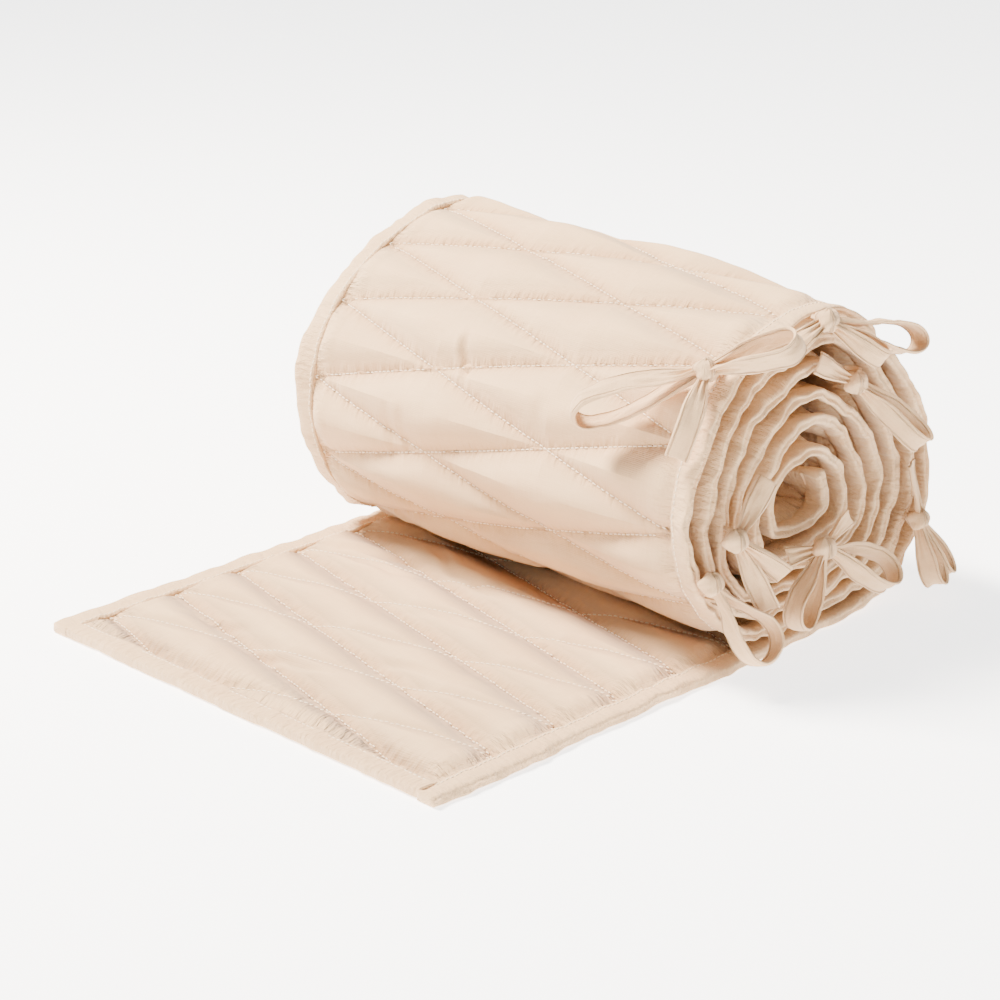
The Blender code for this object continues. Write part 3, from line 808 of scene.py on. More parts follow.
def cotton(name, colour, shade, thread, bump, wrinkles=None, hem=None):
    """Cotton with a faint fuzz sheen: quilted, or with its own wrinkles, and a hem where one is given."""
    material = bpy.data.materials.new(name)
    material.use_nodes = True
    tree = material.node_tree
    shader = tree.nodes["Principled BSDF"]
    uv = node(tree, "ShaderNodeUVMap", uv_map="cloth").outputs["UV"]
    base, normal = woven(tree, uv, colour, shade, thread, bump)
    if wrinkles is None:
        base, normal = quilted(tree, uv, base, normal)
    else:
        drawn = stretched(tree, uv, wrinkles["across"], wrinkles["along"])
        normal = raised_by(tree, noise_socket(tree, drawn, 1.0, 3.0, 0.55), 0.9, wrinkles["deep"], normal)
    if hem is not None:
        base, normal = hemmed(tree, uv, base, normal, hem)
    tree.links.new(base, shader.inputs["Base Color"])
    tree.links.new(normal, shader.inputs["Normal"])
    set_inputs(shader, COTTON_FINISH)
    return material


def material_set(look):
    """The cloths' materials, made once and found again by name."""
    made = bpy.data.materials
    if "quilted_cotton_look" not in made:
        shade = look.cloth_shade
        cotton("quilted_cotton_look", look.cloth_colour, shade, 0.0009, 0.45)
        cotton("binding_cotton_look", look.binding_colour, shade, 0.0009, 0.4, BINDING_WRINKLES)
        cotton("tie_cotton_look", look.tie_colour, shade, 0.0008, 0.4, TIE_WRINKLES, TAPE_HEM)
        colour = look.thread_colour
        thread = cotton("thread_look", colour, colour, 0.0006, 0.1, THREAD_WRINKLES)
        set_inputs(thread.node_tree.nodes["Principled BSDF"], THREAD_FINISH)
    return {
        "panel": made["quilted_cotton_look"],
        "binding": made["binding_cotton_look"],
        "tie": made["tie_cotton_look"],
        "thread": made["thread_look"],
    }


# Settings


class QuiltLook(bpy.types.PropertyGroup):
    """Shape and colour of the quilted panel."""

    step: FloatProperty(
        name="Step", description="Grid step of a face that shows", default=0.0016, unit="LENGTH"
    )
    coarse_step: FloatProperty(
        name="Hidden step", description="Step of a hidden face", default=0.012, unit="LENGTH"
    )
    dip: FloatProperty(
        name="Dip", description="Depth of the quilting lines", default=0.0046, unit="LENGTH"
    )
    crown: FloatProperty(
        name="Crown", description="Rise in a diamond's middle", default=0.0014, unit="LENGTH"
    )
    valley_width: FloatProperty(
        name="Valley", description="Width of a line's dip", default=0.0032, unit="LENGTH"
    )
    second_family: FloatProperty(
        name="Second lines", description="Depth share of the second lines", default=0.8
    )
    faint_family: FloatProperty(
        name="Flap's second lines", description="Their depth share there", default=0.40
    )
    tuck: FloatProperty(
        name="Tuck", description="Depth of its edge under the binding", default=0.0011, unit="LENGTH"
    )
    gather_length: FloatProperty(
        name="Gather length", description="Spacing of gathers", default=0.0062, unit="LENGTH"
    )
    gather_reach: FloatProperty(
        name="Gather reach", description="How far gathers run", default=0.0050, unit="LENGTH"
    )
    gather_depth: FloatProperty(
        name="Gather depth", description="Depth of gathers", default=0.00062, unit="LENGTH"
    )
    seam_reach: FloatProperty(
        name="Seam reach", description="How far seam gathers run", default=0.008, unit="LENGTH"
    )
    slack: FloatProperty(
        name="Slack", description="Height of the loose cloth's waves", default=0.00095, unit="LENGTH"
    )
    cloth_colour: FloatVectorProperty(
        name="Cloth",
        description="Colour of the panel",
        default=(0.75, 0.505, 0.28, 1.0),
        size=4,
        subtype="COLOR",
    )
    cloth_shade: FloatVectorProperty(
        name="Shade",
        description="Second tone of the cloth",
        default=(0.71, 0.46, 0.25, 1.0),
        size=4,
        subtype="COLOR",
    )
    binding_colour: FloatVectorProperty(
        name="Binding",
        description="Colour of the binding",
        default=(0.755, 0.51, 0.285, 1.0),
        size=4,
        subtype="COLOR",
    )
    tie_colour: FloatVectorProperty(
        name="Ties",
        description="Colour of the tape",
        default=(0.725, 0.48, 0.265, 1.0),
        size=4,
        subtype="COLOR",
    )
    thread_colour: FloatVectorProperty(
        name="Thread",
        description="Colour of the thread",
        default=(0.92, 0.76, 0.55, 1.0),
        size=4,
        subtype="COLOR",
    )


class StitchLook(bpy.types.PropertyGroup):
    """Size and spacing of the stitches."""

    pitch: FloatProperty(
        name="Pitch", description="From one stitch to the next", default=0.0032, unit="LENGTH"
    )
    length: FloatProperty(
        name="Length", description="Length of one stitch", default=0.0027, unit="LENGTH"
    )
    radius: FloatProperty(
        name="Radius", description="Half the thread's thickness", default=0.00037, unit="LENGTH"
    )
    around: IntProperty(name="Around", description="Sides of a stitch", default=5)


class BindingLook(bpy.types.PropertyGroup):
    """Shape of the binding."""

    step: FloatProperty(
        name="Step", description="Spacing of sections", default=0.0016, unit="LENGTH"
    )
    rim: FloatProperty(
        name="Rim wave", description="How far the rim wanders out", default=RIM_WAVE, unit="LENGTH"
    )
    ripple: FloatProperty(
        name="Ripple", description="How far the rim waves sideways", default=RIPPLE, unit="LENGTH"
    )
    overlap: FloatProperty(
        name="Overlap", description="Over the panel's edge", default=0.0009, unit="LENGTH"
    )
    lip: FloatProperty(
        name="Lip", description="Depth of the furrow along the rim", default=0.0028, unit="LENGTH"
    )
    crinkle: FloatProperty(
        name="Crinkle", description="Depth of the short waves", default=0.0031, unit="LENGTH"
    )
    pucker: FloatProperty(
        name="Pucker", description="Depth of the gathers at the seam", default=0.00045, unit="LENGTH"
    )


class TieLook(bpy.types.PropertyGroup):
    """Shape of the tape ties."""

    sections: IntProperty(name="Sections", description="Sections along a loop", default=80)
    across: IntProperty(name="Across", description="Points across the tape", default=15)
    gather: FloatProperty(
        name="Gather", description="Length over which the tape spreads", default=0.026, unit="LENGTH"
    )
    gathered: FloatProperty(
        name="Gathered", description="Share of its width at the knot", default=0.40
    )
    pleat: FloatProperty(
        name="Pleat", description="Depth of the pleats at the knot", default=0.0013, unit="LENGTH"
    )
    crumple: FloatProperty(
        name="Crumple", description="Depth of its small dents", default=0.0009, unit="LENGTH"
    )
    curl: FloatProperty(
        name="Curl", description="How far the tape's edges curl", default=0.0022, unit="LENGTH"
    )


class StageLook(bpy.types.PropertyGroup):
    """Light and floor."""

    key: FloatProperty(name="Key", description="Power of the main light in watts", default=200.0)
    fill: FloatProperty(name="Fill", description="Power of the front light in watts", default=3.0)
    floor_glow: FloatProperty(
        name="Floor glow", description="Light of a lit white floor", default=3.0
    )
    world: FloatProperty(name="World", description="Strength of the surroundings", default=0.56)


# Operators


def panel_lengths(look):
    """The panel in three lengths, each with its rows along s and its columns on both faces."""
    fine = np.linspace(-EDGE, EDGE, int(2 * EDGE / look.step) + 1)
    coarse = np.linspace(-EDGE, EDGE, int(2 * EDGE / look.coarse_step) + 1)
    flap_end, outer_end = at_turn(0) - FLAP_BEFORE_ROLL, at_turn(OUTER_TURNS)
    flap = np.linspace(BAND + GAP, flap_end, int((flap_end - BAND) / look.step))
    roll = np.linspace(flap_end + GAP / 2, outer_end, int((outer_end - flap_end) / look.step))
    core = np.linspace(outer_end + GAP / 2, LENGTH - BAND - GAP, int((LENGTH - outer_end) / CORE_STEP))
    return (
        {"name": "panel_flap", "rows": flap, "outer": coarse, "inner": fine},
        {"name": "panel_roll", "rows": roll, "outer": fine, "inner": coarse},
        {"name": "panel_core", "rows": core, "outer": coarse, "inner": coarse},
    )


class BUMPER_OT_panel(bpy.types.Operator):
    """Make the quilted panel: the flap, the outer turn and the inner turns"""

    bl_idname = "bumper.panel"
    bl_label = "Quilted panel"

    def execute(self, context):
        look = context.scene.bumper_quilt
        material = material_set(look)["panel"]
        for row in panel_lengths(look):
            item = slab(row["name"], row["rows"], row["outer"], row["inner"], look, material)
            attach(item, "root")
            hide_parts("panel")
        return {"FINISHED"}


def stitch_shapes(centres, along, normal, look):
    """Stitches as small closed capsules, each turned into its own frame.

    A capsule has four rings along the seam. The two at its ends are narrower and lie lower, so that
    the thread dives into the cloth.
    """
    across = np.cross(normal, along)
    around = look.around
    angles = np.arange(around) * 2 * math.pi / around
    points = []
    for row in STITCH_RINGS:
        ring = (
            centres[:, None, :]
            + along[:, None, :] * row["at"] * look.length
            + across[:, None, :] * (np.cos(angles) * row["size"] * look.radius)[None, :, None]
            + normal[:, None, :]
            * ((np.sin(angles) * row["size"] + row["rise"]) * look.radius)[None, :, None]
        )
        points.append(ring)
    points = np.stack(points, axis=1)
    count, levels = len(centres), len(STITCH_RINGS)
    base = (np.arange(count) * levels * around)[:, None, None]
    row = (np.arange(levels - 1) * around)[None, :, None]
    k = np.arange(around)[None, None, :]
    following = (k + 1) % around
    here, beyond = base + row, base + row + around
    quads = np.stack([here + k, here + following, beyond + following, beyond + k], axis=-1)
    first = base[:, 0, 0][:, None] + np.arange(around)[None, :]
    caps = np.concatenate([first[:, ::-1], first + (levels - 1) * around])
    return points.reshape(-1, 3), quads.reshape(-1, 4), caps.tolist()


def grid_height(u, s, side, quilt):
    """A face's height as its grid has it: between the four grid points round each place."""
    row = panel_lengths(quilt)[0 if side < 0 else 1]
    columns = row["inner"] if side < 0 else row["outer"]
    column_step, row_step = columns[1] - columns[0], row["rows"][1] - row["rows"][0]
    across, along = (u - columns[0]) / column_step, (s - row["rows"][0]) / row_step
    low_u, low_s = np.floor(across), np.floor(along)
    tu, ts = across - low_u, along - low_s
    total = 0
    corners = ((0, 0, (1 - tu) * (1 - ts)), (1, 0, tu * (1 - ts)), (0, 1, (1 - tu) * ts), (1, 1, tu * ts))
    for du, ds, weight in corners:
        at_u = columns[0] + (low_u + du) * column_step
        at_s = row["rows"][0] + (low_s + ds) * row_step
        total = total + weight * face_height(at_u, at_s, side, quilt)
    return total


def quilt_stitches(low, high, side, quilt, look):
    """Stitch centres, directions and normals on one face of the strip, between two lengths."""
    found = []
    run = math.hypot(2 * EDGE, HALVES_ACROSS * HALF_SHORT)
    steps = int(run / look.pitch)
    for sign in (1, -1):
        first = int(math.floor((low - QUILT_PHASE) / HALF_SHORT / 2)) - HALVES_ACROSS
        last = int(math.ceil((high - QUILT_PHASE) / HALF_SHORT / 2)) + HALVES_ACROSS
        number = np.arange(first, last)[:, None]
        across = (np.arange(steps) + 0.5)[None, :] / steps * HALVES_ACROSS
        along = 2 * number - sign * across
        u = np.broadcast_to(across * HALF_LONG - EDGE, along.shape).ravel()
        s = (along * HALF_SHORT + QUILT_PHASE).ravel()
        keep = (s > max(low, BAND + QUILTING_CLEAR)) & (s < high)
        found.append((u[keep], s[keep], np.full(int(keep.sum()), -sign * HALF_SHORT / HALF_LONG)))
    u, s, slope = (np.concatenate([f[k] for f in found]) for k in range(3))
    return face_frames(u, s, slope, side, grid_height(u, s, side, quilt))


def face_frames(u, s, slope, side, height):
    """Places on a face with the direction of a seam there, ds/du = slope, and the way out."""
    reach = 0.0012
    run = reach / np.sqrt(1 + slope**2)
    centres = place(u, s, side * height)
    ahead = place(u + run, s + slope * run, side * height)
    behind = place(u - run, s - slope * run, side * height)
    along = ahead - behind
    along /= np.linalg.norm(along, axis=1)[:, None]
    normal = outward(s) * side
    normal -= along * np.sum(normal * along, axis=1)[:, None]
    normal /= np.linalg.norm(normal, axis=1)[:, None]
    return centres, along, normal


def seam_stitches(low, high, side, binding, look):
    """Stitches along both long edges, just outside the seam, and on the flap across its end."""
    s = np.arange(low, high, look.pitch)
    share = np.full_like(s, SEAM_SHARE)
    face = np.full_like(s, float(side))
    found = []
    for edge in (-1, 1):
        u, h = edge_surface(edge, s, share, face, binding)
        centres = place(u, s, h)
        u, h = edge_surface(edge, s + PROBE, share, face, binding)
        ahead = place(u, s + PROBE, h)
        found.append((centres, unit(ahead - centres), outward(s) * side))
    if side < 0:
        u = np.arange(-EDGE + END_SEAM_CLEAR, EDGE - END_SEAM_CLEAR, look.pitch)
        s = np.full_like(u, BAND - END_SEAM_OUT)
        h = side * BOUND / 2 * END_SEAM_RISE + bound_lift(s)
        centres = place(u, s, h)
        found.append((centres, unit(place(u + MM, s, h) - centres), outward(s) * side))
    return tuple(np.concatenate([f[k] for f in found]) for k in range(3))


class BUMPER_OT_stitching(bpy.types.Operator):
    """Sew the quilting lines and the edge seams, as small separate stitches"""

    bl_idname = "bumper.stitching"
    bl_label = "Stitching"

    def execute(self, context):
        quilt, look = context.scene.bumper_quilt, context.scene.bumper_stitch
        material = material_set(quilt)["thread"]
        flap_end = at_turn(0) - FLAP_BEFORE_ROLL
        low, high = at_turn(STITCHED_FROM), at_turn(STITCHED_TO)
        rows = (
            {"name": "stitching_flap", "from": BAND, "to": flap_end, "side": -1, "kind": quilt_stitches},
            {"name": "stitching_roll", "from": low, "to": high, "side": 1, "kind": quilt_stitches},
            {"name": "seam_flap", "from": BAND, "to": flap_end, "side": -1, "kind": seam_stitches},
            {"name": "seam_roll", "from": low, "to": high, "side": 1, "kind": seam_stitches},
        )
        for row in rows:
            surface = quilt if row["kind"] is quilt_stitches else context.scene.bumper_binding
            frames = row["kind"](row["from"], row["to"], row["side"], surface, look)
            points, quads, caps = stitch_shapes(*frames, look)
            uv = points[:, :2].copy()
            item = mesh_object(row["name"], points, quads, caps, material, uv)
            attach(item, "root")
        return {"FINISHED"}


def bound_lift(s):
    """How far the bound edge's middle drops towards the floor where the strip lies flat."""
    return (PADDED - BOUND) / 2 * on_floor(s)


def wander(s, scale):
    """A slow, uneven wave along an edge: three sines of unlike lengths."""
    return scale * sum(
        wave["share"] * np.sin(2 * math.pi * s / wave["length"] + wave["start"]) for wave in EDGE_WAVES
    )


def binding_profile():
    """The folded strip's section: share of the way to the rim, and side of the middle, round the fold."""
    flat = np.linspace(0, FOLD_START, FLAT_POINTS)
    fold = np.linspace(math.pi / 2, -math.pi / 2, FOLD_POINTS + 2)[1:-1]
    rounded = FOLD_START + (1 - FOLD_START) * np.abs(np.cos(fold)) ** FOLD_ROUNDNESS
    share = np.concatenate([flat, rounded, flat[::-1]])
    side = np.concatenate([np.ones_like(flat), np.sin(fold), -np.ones_like(flat)])
    return share, side


def crinkle(along, seed):
    """Uneven short waves from -1 to 1 along an edge that its stitches have drawn up."""
    slow = noise_1d(along / CRINKLE_LENGTH, seed)
    short = noise_1d(along / SHORT_CRINKLE_LENGTH, seed + 1)
    return 0.65 * slow + 0.45 * short * (0.5 + 0.5 * np.abs(slow))


def half_thickness(share, face):
    """Half the binding's thickness from its seam to its rim: pinched at the seam, full at the fold."""
    full = 1 + FOLD_SWELL * np.sin(math.pi * np.clip(share, 0, 1) ** SWELL_POWER)
    pinch = 1 - SEAM_PINCH * np.exp(-np.abs(share - PINCH_AT) / PINCH_REACH)
    return BOUND / 2 * full * pinch * face


def edge_surface(side, s, share, face, look):
    """The long binding's surface: u and h at s, at a share of the way to the rim, on one face or the fold.

    The rim waves sideways and is crinkled, with a furrow along the middle of its fold.
    """
    seed = EDGE_SEEDS[side]
    free = 1 - on_floor(s)
    ripple = wander(s + (0.02 if side < 0 else 0), look.ripple) * free
    waves = look.crinkle * crinkle(s, seed + 4) * (CRINKLE_ON_FLOOR + (1 - CRINKLE_ON_FLOOR) * free)
    rim = HEIGHT / 2 + wander(s + RIM_START, look.rim) + look.crinkle * 0.45 * crinkle(s + 0.3, seed)
    uneven = 0.75 + 0.5 * noise_1d(s / FURROW_LENGTH, seed + 8)
    furrow = look.lip * uneven * np.exp(-((face / FURROW_WIDTH) ** 2))
    furrow = furrow * (share > FOLD_START + 0.01) * (FURROW_ON_FLOOR + (1 - FURROW_ON_FLOOR) * free)
    furrow = furrow + face * look.lip * 0.4 * noise_1d(s / SLANT_LENGTH, seed + 9) * share**3
    inner = EDGE - look.overlap
    u = side * (inner + (rim - inner) * share - furrow)
    near_seam = np.exp(-np.abs(share - GATHER_AT) / GATHER_FADE)
    gathers = look.pucker * noise_1d(s / SEAM_GATHER_LENGTH, seed + 1) * near_seam
    gathers = gathers + look.pucker * 0.8 * noise_1d(s / BROAD_GATHER_LENGTH, seed + 2)
    lifted = gathers * np.sign(face) * (np.abs(face) > 0.9)
    h = half_thickness(share, face) + lifted + (ripple + waves) * share**1.2 + bound_lift(s)
    return u, np.minimum(h, np.where(on_floor(s) > 0.5, PADDED / 2, 1.0))


def edge_sections(side, look, rows):
    """The binding along a long edge: its section swept along s."""
    share, face = binding_profile()
    share, face, s = share[None, :], face[None, :], rows[:, None]
    u, h = edge_surface(side, s, share, face, look)
    s = np.broadcast_to(s, h.shape)
    uv = np.stack([np.broadcast_to(face * FOLD_UV + share * BAND, h.shape), s], axis=-1)
    return place(u, s, h), uv


def end_sections(start, end, look, seed):
    """The binding across an end of the strip: the same section swept along u."""
    share, face = binding_profile()
    share, face = share[None, :], face[None, :]
    u = np.linspace(-EDGE, EDGE, int(2 * EDGE / look.step))[:, None]
    toward = 1 if end > start else -1
    inner = end + toward * look.overlap
    s = inner + (start - inner) * share - toward * 0.4 * look.crinkle * crinkle(u, seed + 7) * share
    near_seam = np.exp(-np.abs(share - GATHER_AT) / GATHER_FADE)
    gathers = look.pucker * noise_1d(u / END_GATHER_LENGTH, seed) * near_seam
    gathers = gathers + look.pucker * noise_1d(u / END_BROAD_LENGTH, seed + 1)
    lifted = gathers * np.sign(face) * (np.abs(face) > 0.9)
    h = np.minimum(half_thickness(share, face) + lifted + bound_lift(start), PADDED / 2)
    u = np.broadcast_to(u, h.shape)
    uv = np.stack([np.broadcast_to(face * FOLD_UV + share * BAND, h.shape), u], axis=-1)
    return place(u, np.broadcast_to(s, h.shape), h), uv


class BUMPER_OT_bindings(bpy.types.Operator):
    """Bind the four edges with a folded strip"""

    bl_idname = "bumper.bindings"
    bl_label = "Bindings"

    def execute(self, context):
        look = context.scene.bumper_binding
        material = material_set(context.scene.bumper_quilt)["binding"]
        rows = np.linspace(0, LENGTH, int(LENGTH / look.step))
        made = {
            "binding_tied_edge": edge_sections(1, look, rows),
            "binding_plain_edge": edge_sections(-1, look, rows),
            "binding_flap_end": end_sections(0.0, BAND, look, FLAP_END_SEED),
            "binding_core_end": end_sections(LENGTH, LENGTH - BAND, look, CORE_END_SEED),
        }
        for name, (sections, uv) in made.items():
            item = tube("cloth_" + name, sections, material, uv)
            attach(item, "root")
            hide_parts(name)
        return {"FINISHED"}


def unit(v):
    """Vectors made one long."""
    return v / np.maximum(np.linalg.norm(v, axis=-1, keepdims=True), 1e-9)


def tip_and_width(row):
    """A strand's way from the knot to its tip, the way its tape's width faces, and its bow."""
    front, right = unit(np.array(TIE_FRONT)), unit(np.array(TIE_RIGHT))
    out = (right * row["right"] + np.cross(front, right) * row["up"] + front * row["near"]) * MM
    flat = unit(np.cross(front, out))
    edge = unit(np.cross(out, flat))
    turn = math.radians(row["face"])
    return out, flat * math.cos(turn) + edge * math.sin(turn), front * row["bow"] * MM


def strand_line(row, knot, look):
    """A strand's centre line and its width direction.

    A loop is a leaf, with t from 0 to 1 along it: it reaches for the tip as a power of sin(pi t),
    and opens sideways as sin(2 pi t), so that both ends lie at the knot. A tail runs straight to its
    tip, its middle standing out by its bow.
    """
    out, width, bow = tip_and_width(row)
    start = knot + unit(out) * KNOT_START
    if row["kind"] == "loop":
        t = np.linspace(0, 1, look.sections)[:, None]
        side = unit(np.cross(out, width))
        reach = np.sin(math.pi * t).clip(0, 1) ** LEAF_POWER
        opening = np.sin(2 * math.pi * t) * np.abs(np.sin(math.pi * t)) ** OPENING_POWER
        spread = row["open"] * MM / 2 * opening
        apart = side * np.where(t < 0.5, 1, -1) * TAPE_THICK * TAPES_APART * (1 - reach)
        centres = start + apart + out * reach + side * spread + bow * np.sin(math.pi * reach)
    else:
        t = np.linspace(0, 1, look.sections // 2)[:, None]
        centres = start + (knot + out - start) * t + bow * np.sin(math.pi * t)
    return centres, width


def tape_sections(centres, width, knot, look, seed):
    """A flat tape swept along its centre line, from pleats at the knot to its full width.

    Across the tape the middle surface is a sine of pleats that fades from the knot, plus a curl that
    grows as the square of the way to the edge, plus smooth noise. The tape is thicker at its hems.
    """
    along = unit(np.gradient(centres, axis=0))
    wide = unit(width - along * np.sum(along * width, axis=1, keepdims=True))
    normal = np.cross(along, wide)
    spread = eased(np.linalg.norm(centres - knot, axis=1) / look.gather)
    half = TAPE_WIDTH / 2 * (look.gathered + (1 - look.gathered) * spread)
    x = np.linspace(-1, 1, look.across)
    lengths = np.concatenate([[0], np.cumsum(np.linalg.norm(np.diff(centres, axis=0), axis=1))])
    pleats = look.pleat * np.sin(x * PLEAT_WAVE + seed)[None, :] * (1 - spread)[:, None] ** PLEAT_FADE
    curl = look.curl * noise_1d(lengths / TAPE_CURL_LENGTH, seed)[:, None] * (x**2)[None, :]
    dents = noise_2d(lengths[:, None] / TAPE_DENTS, x[None, :] * 1.4 + 5, seed + 3)
    small_dents = noise_2d(lengths[:, None] / TAPE_SMALL_DENTS, x[None, :] * 2.6, seed + 4)
    crumple = look.crumple * dents + look.crumple * 0.5 * small_dents
    offset = pleats + curl + crumple * (0.4 + 0.6 * spread[:, None])
    hem = 1 + HEM_RISE * np.exp(-(((HEM_AT - np.abs(x)) / HEM_WIDTH) ** 2))
    thick = np.where(np.abs(x) > 0.99, EDGE_THIN, hem) * TAPE_THICK / 2
    middle = centres[:, None, :] + wide[:, None, :] * (half[:, None] * x[None, :])[..., None]
    top = middle + normal[:, None, :] * (offset + thick[None, :])[..., None]
    bottom = middle + normal[:, None, :] * (offset - thick[None, :])[..., None]
    sections = np.concatenate([top, bottom[:, ::-1]], axis=1)
    across = np.concatenate([x, x[::-1]]) * TAPE_WIDTH / 2
    uv = np.stack(np.broadcast_arrays(across[None, :] + seed * TAPE_SPACING, lengths[:, None]), axis=-1)
    return sections, uv, float(lengths[-1])


def knot_sections(knot, seed):
    """A knot: an ellipsoid whose radius waves round it like wrapped cloth."""
    rise = np.linspace(KNOT_POLE, math.pi - KNOT_POLE, KNOT_RINGS)[:, None]
    turn = np.linspace(0, 2 * math.pi, KNOT_SIDES + 1)[None, :-1]
    wrapped = KNOT_WAVES[0] * np.sin(3 * turn + 2.2 * rise + seed)
    wave = 1 + wrapped + KNOT_WAVES[1] * np.sin(5 * rise + 2 * turn + seed)
    ring = np.sin(rise)
    upwards = np.cos(rise) * np.ones_like(turn)
    shape = np.stack([ring * np.cos(turn), ring * np.sin(turn), upwards], axis=-1)
    sections = knot + shape * wave[..., None] * np.array(KNOT_SIZE)
    uv = np.stack(np.broadcast_arrays(turn * KNOT_UV + seed * TAPE_SPACING, rise * KNOT_UV), axis=-1)
    return sections, uv


def root_line(tie, knot):
    """The root, from the knot to the bound edge, or to the binding's face under a knot that lies on it."""
    s = at_turn(tie["turn"])
    if knot[0] < EDGE:
        foot = place(knot[0], s, PADDED / 2 + GAP)
        return np.linspace(knot, foot, ROOT_SECTIONS), np.array([1.0, 0.0, 0.0])
    sides = np.array([s - TAPE_WIDTH / 2, s, s + TAPE_WIDTH / 2])
    rim_x = HEIGHT / 2 + np.max(wander(sides + RIM_START, RIM_WAVE))
    edge = place(rim_x + ROOT_GAP, s, wander(s, RIPPLE))
    along = unit(place(rim_x, s + 0.002, 0.0) - place(rim_x, s - 0.002, 0.0))
    return np.linspace(np.array([knot[0], edge[1], edge[2]]), edge, ROOT_SECTIONS), along


class BUMPER_OT_ties(bpy.types.Operator):
    """Tie the tape bows along one edge"""

    bl_idname = "bumper.ties"
    bl_label = "Ties"

    def execute(self, context):
        look = context.scene.bumper_tie
        material = material_set(context.scene.bumper_quilt)["tie"]
        for number, tie in enumerate(TIES):
            knot = np.array([tie["x"], tie["y"], tie["z"]]) * MM
            parts = [(*knot_sections(knot, number), 0.0)]
            root, width = root_line(tie, knot)
            parts.append(tape_sections(root, width, knot, look, number * 10 + ROOT_SEED))
            rows = [row for row in STRANDS if row["tie"] == tie["tie"]]
            for k, row in enumerate(rows):
                centres, width = strand_line(row, knot, look)
                parts.append(tape_sections(centres, width, knot, look, number * 10 + k + STRAND_SEED))
            made = [
                tube(f"strand_{number}_{k}", sections, material, uv)
                for k, (sections, uv, _) in enumerate(parts)
            ]
            item = joined(made, "tape_tie_" + tie["tie"])
            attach(item, "root")
            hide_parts("tie_" + tie["tie"])
        return {"FINISHED"}


def joined(items, name):
    """Several mesh objects joined into one."""
    with bpy.context.temp_override(active_object=items[0], selected_editable_objects=items):
        bpy.ops.object.join()
    items[0].name = name
    items[0].data.name = name
    return items[0]


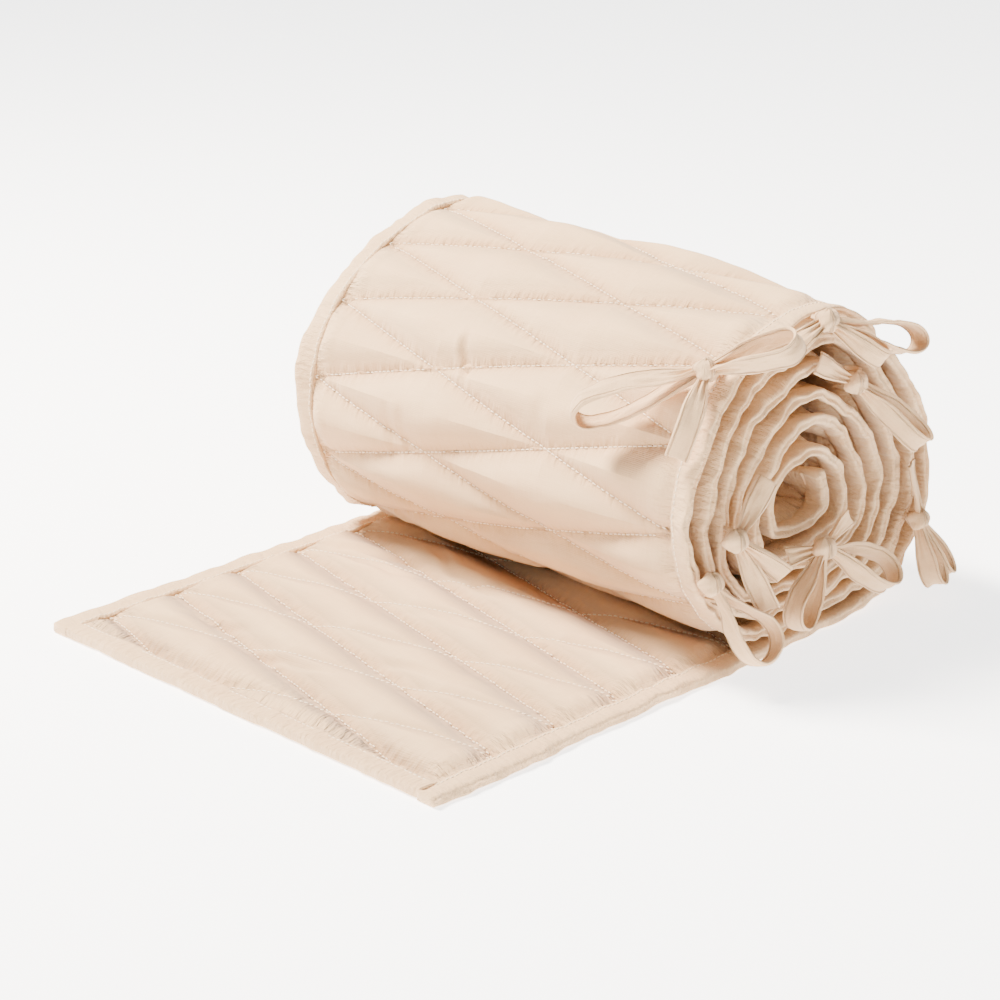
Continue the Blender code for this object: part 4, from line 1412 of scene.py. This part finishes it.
class BUMPER_OT_stage(bpy.types.Operator):
    """Set the pale floor, the soft lights and the camera"""

    bl_idname = "bumper.stage"
    bl_label = "Stage"

    def execute(self, context):
        look = context.scene.bumper_stage
        bpy.ops.mesh.primitive_plane_add(size=FLOOR_SIZE, location=(0, 0, -FLOOR_DROP))
        floor = context.object
        floor.name = "floor"
        material = bpy.data.materials.new("floor_look")
        material.use_nodes = True
        shader = material.node_tree.nodes["Principled BSDF"]
        set_inputs(shader, {**FLOOR_FINISH, "Emission Strength": look.floor_glow})
        floor.data.materials.append(material)
        world = bpy.data.worlds.new("studio")
        world.use_nodes = True
        set_inputs(world.node_tree.nodes["Background"], {"Color": ROOM_COLOUR, "Strength": look.world})
        context.scene.world = world
        lights = (
            {"name": "key", "power": look.key, "size": 0.6, "place": KEY_PLACE},
            {"name": "front", "power": look.fill, "size": 1.4, "place": FRONT_PLACE},
        )
        for row in lights:
            data = bpy.data.lights.new(row["name"], "AREA")
            data.energy = row["power"]
            data.size = row["size"]
            data.color = KEY_COLOUR
            item = bpy.data.objects.new(row["name"], data)
            item.location = row["place"]
            item.rotation_mode = "QUATERNION"
            aim = Vector(LIGHTS_AIM) - Vector(row["place"])
            item.rotation_quaternion = aim.to_track_quat("-Z", "Y")
            context.scene.collection.objects.link(item)
        camera = bpy.data.cameras.new("camera")
        camera.lens = CAMERA_LENS
        camera.sensor_width = CAMERA_SENSOR
        camera.clip_start, camera.clip_end = CAMERA_CLIP
        view = bpy.data.objects.new("camera", camera)
        a, e = CAMERA_AZIMUTH, CAMERA_ELEVATION
        back = Vector((math.sin(a) * math.cos(e), -math.cos(a) * math.cos(e), math.sin(e)))
        view.location = CAMERA_PLACE
        view.rotation_mode = "QUATERNION"
        view.rotation_quaternion = (-back).to_track_quat("-Z", "Y")
        context.scene.collection.objects.link(view)
        context.scene.camera = view
        return {"FINISHED"}


class BUMPER_PT_sidebar(bpy.types.Panel):
    """The bumper's pieces and their settings"""

    bl_idname = "BUMPER_PT_sidebar"
    bl_label = "Crib bumper"
    bl_space_type = "VIEW_3D"
    bl_region_type = "UI"
    bl_category = "Bumper"

    def draw(self, context):
        layout = self.layout
        for settings, operator in SIDEBAR:
            group = getattr(context.scene, settings)
            box = layout.box()
            for name in group.__annotations__:
                box.prop(group, name)
            box.operator(operator)


SIDEBAR = (
    ("bumper_quilt", "bumper.panel"),
    ("bumper_stitch", "bumper.stitching"),
    ("bumper_binding", "bumper.bindings"),
    ("bumper_tie", "bumper.ties"),
    ("bumper_stage", "bumper.stage"),
)
SETTINGS = {
    "bumper_quilt": QuiltLook,
    "bumper_stitch": StitchLook,
    "bumper_binding": BindingLook,
    "bumper_tie": TieLook,
    "bumper_stage": StageLook,
}
OPERATORS = (BUMPER_OT_panel, BUMPER_OT_stitching, BUMPER_OT_bindings, BUMPER_OT_ties, BUMPER_OT_stage)


def register():
    """Add the settings, operators and panel to Blender."""
    for group in SETTINGS.values():
        bpy.utils.register_class(group)
    for name, group in SETTINGS.items():
        setattr(bpy.types.Scene, name, PointerProperty(type=group))
    for operator in (*OPERATORS, BUMPER_PT_sidebar):
        bpy.utils.register_class(operator)


def unregister():
    """Take them out again."""
    for operator in (BUMPER_PT_sidebar, *reversed(OPERATORS)):
        bpy.utils.unregister_class(operator)
    for name in SETTINGS:
        delattr(bpy.types.Scene, name)
    for group in SETTINGS.values():
        bpy.utils.unregister_class(group)


def main():
    """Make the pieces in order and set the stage."""
    for name in ("Cube", "Light", "Camera"):
        if name in bpy.data.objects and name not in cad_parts:
            bpy.data.objects.remove(bpy.data.objects[name], do_unlink=True)
    register()
    bpy.ops.bumper.panel()
    bpy.ops.bumper.stitching()
    bpy.ops.bumper.bindings()
    bpy.ops.bumper.ties()
    bpy.ops.bumper.stage()


if __name__ == "__main__":
    main()
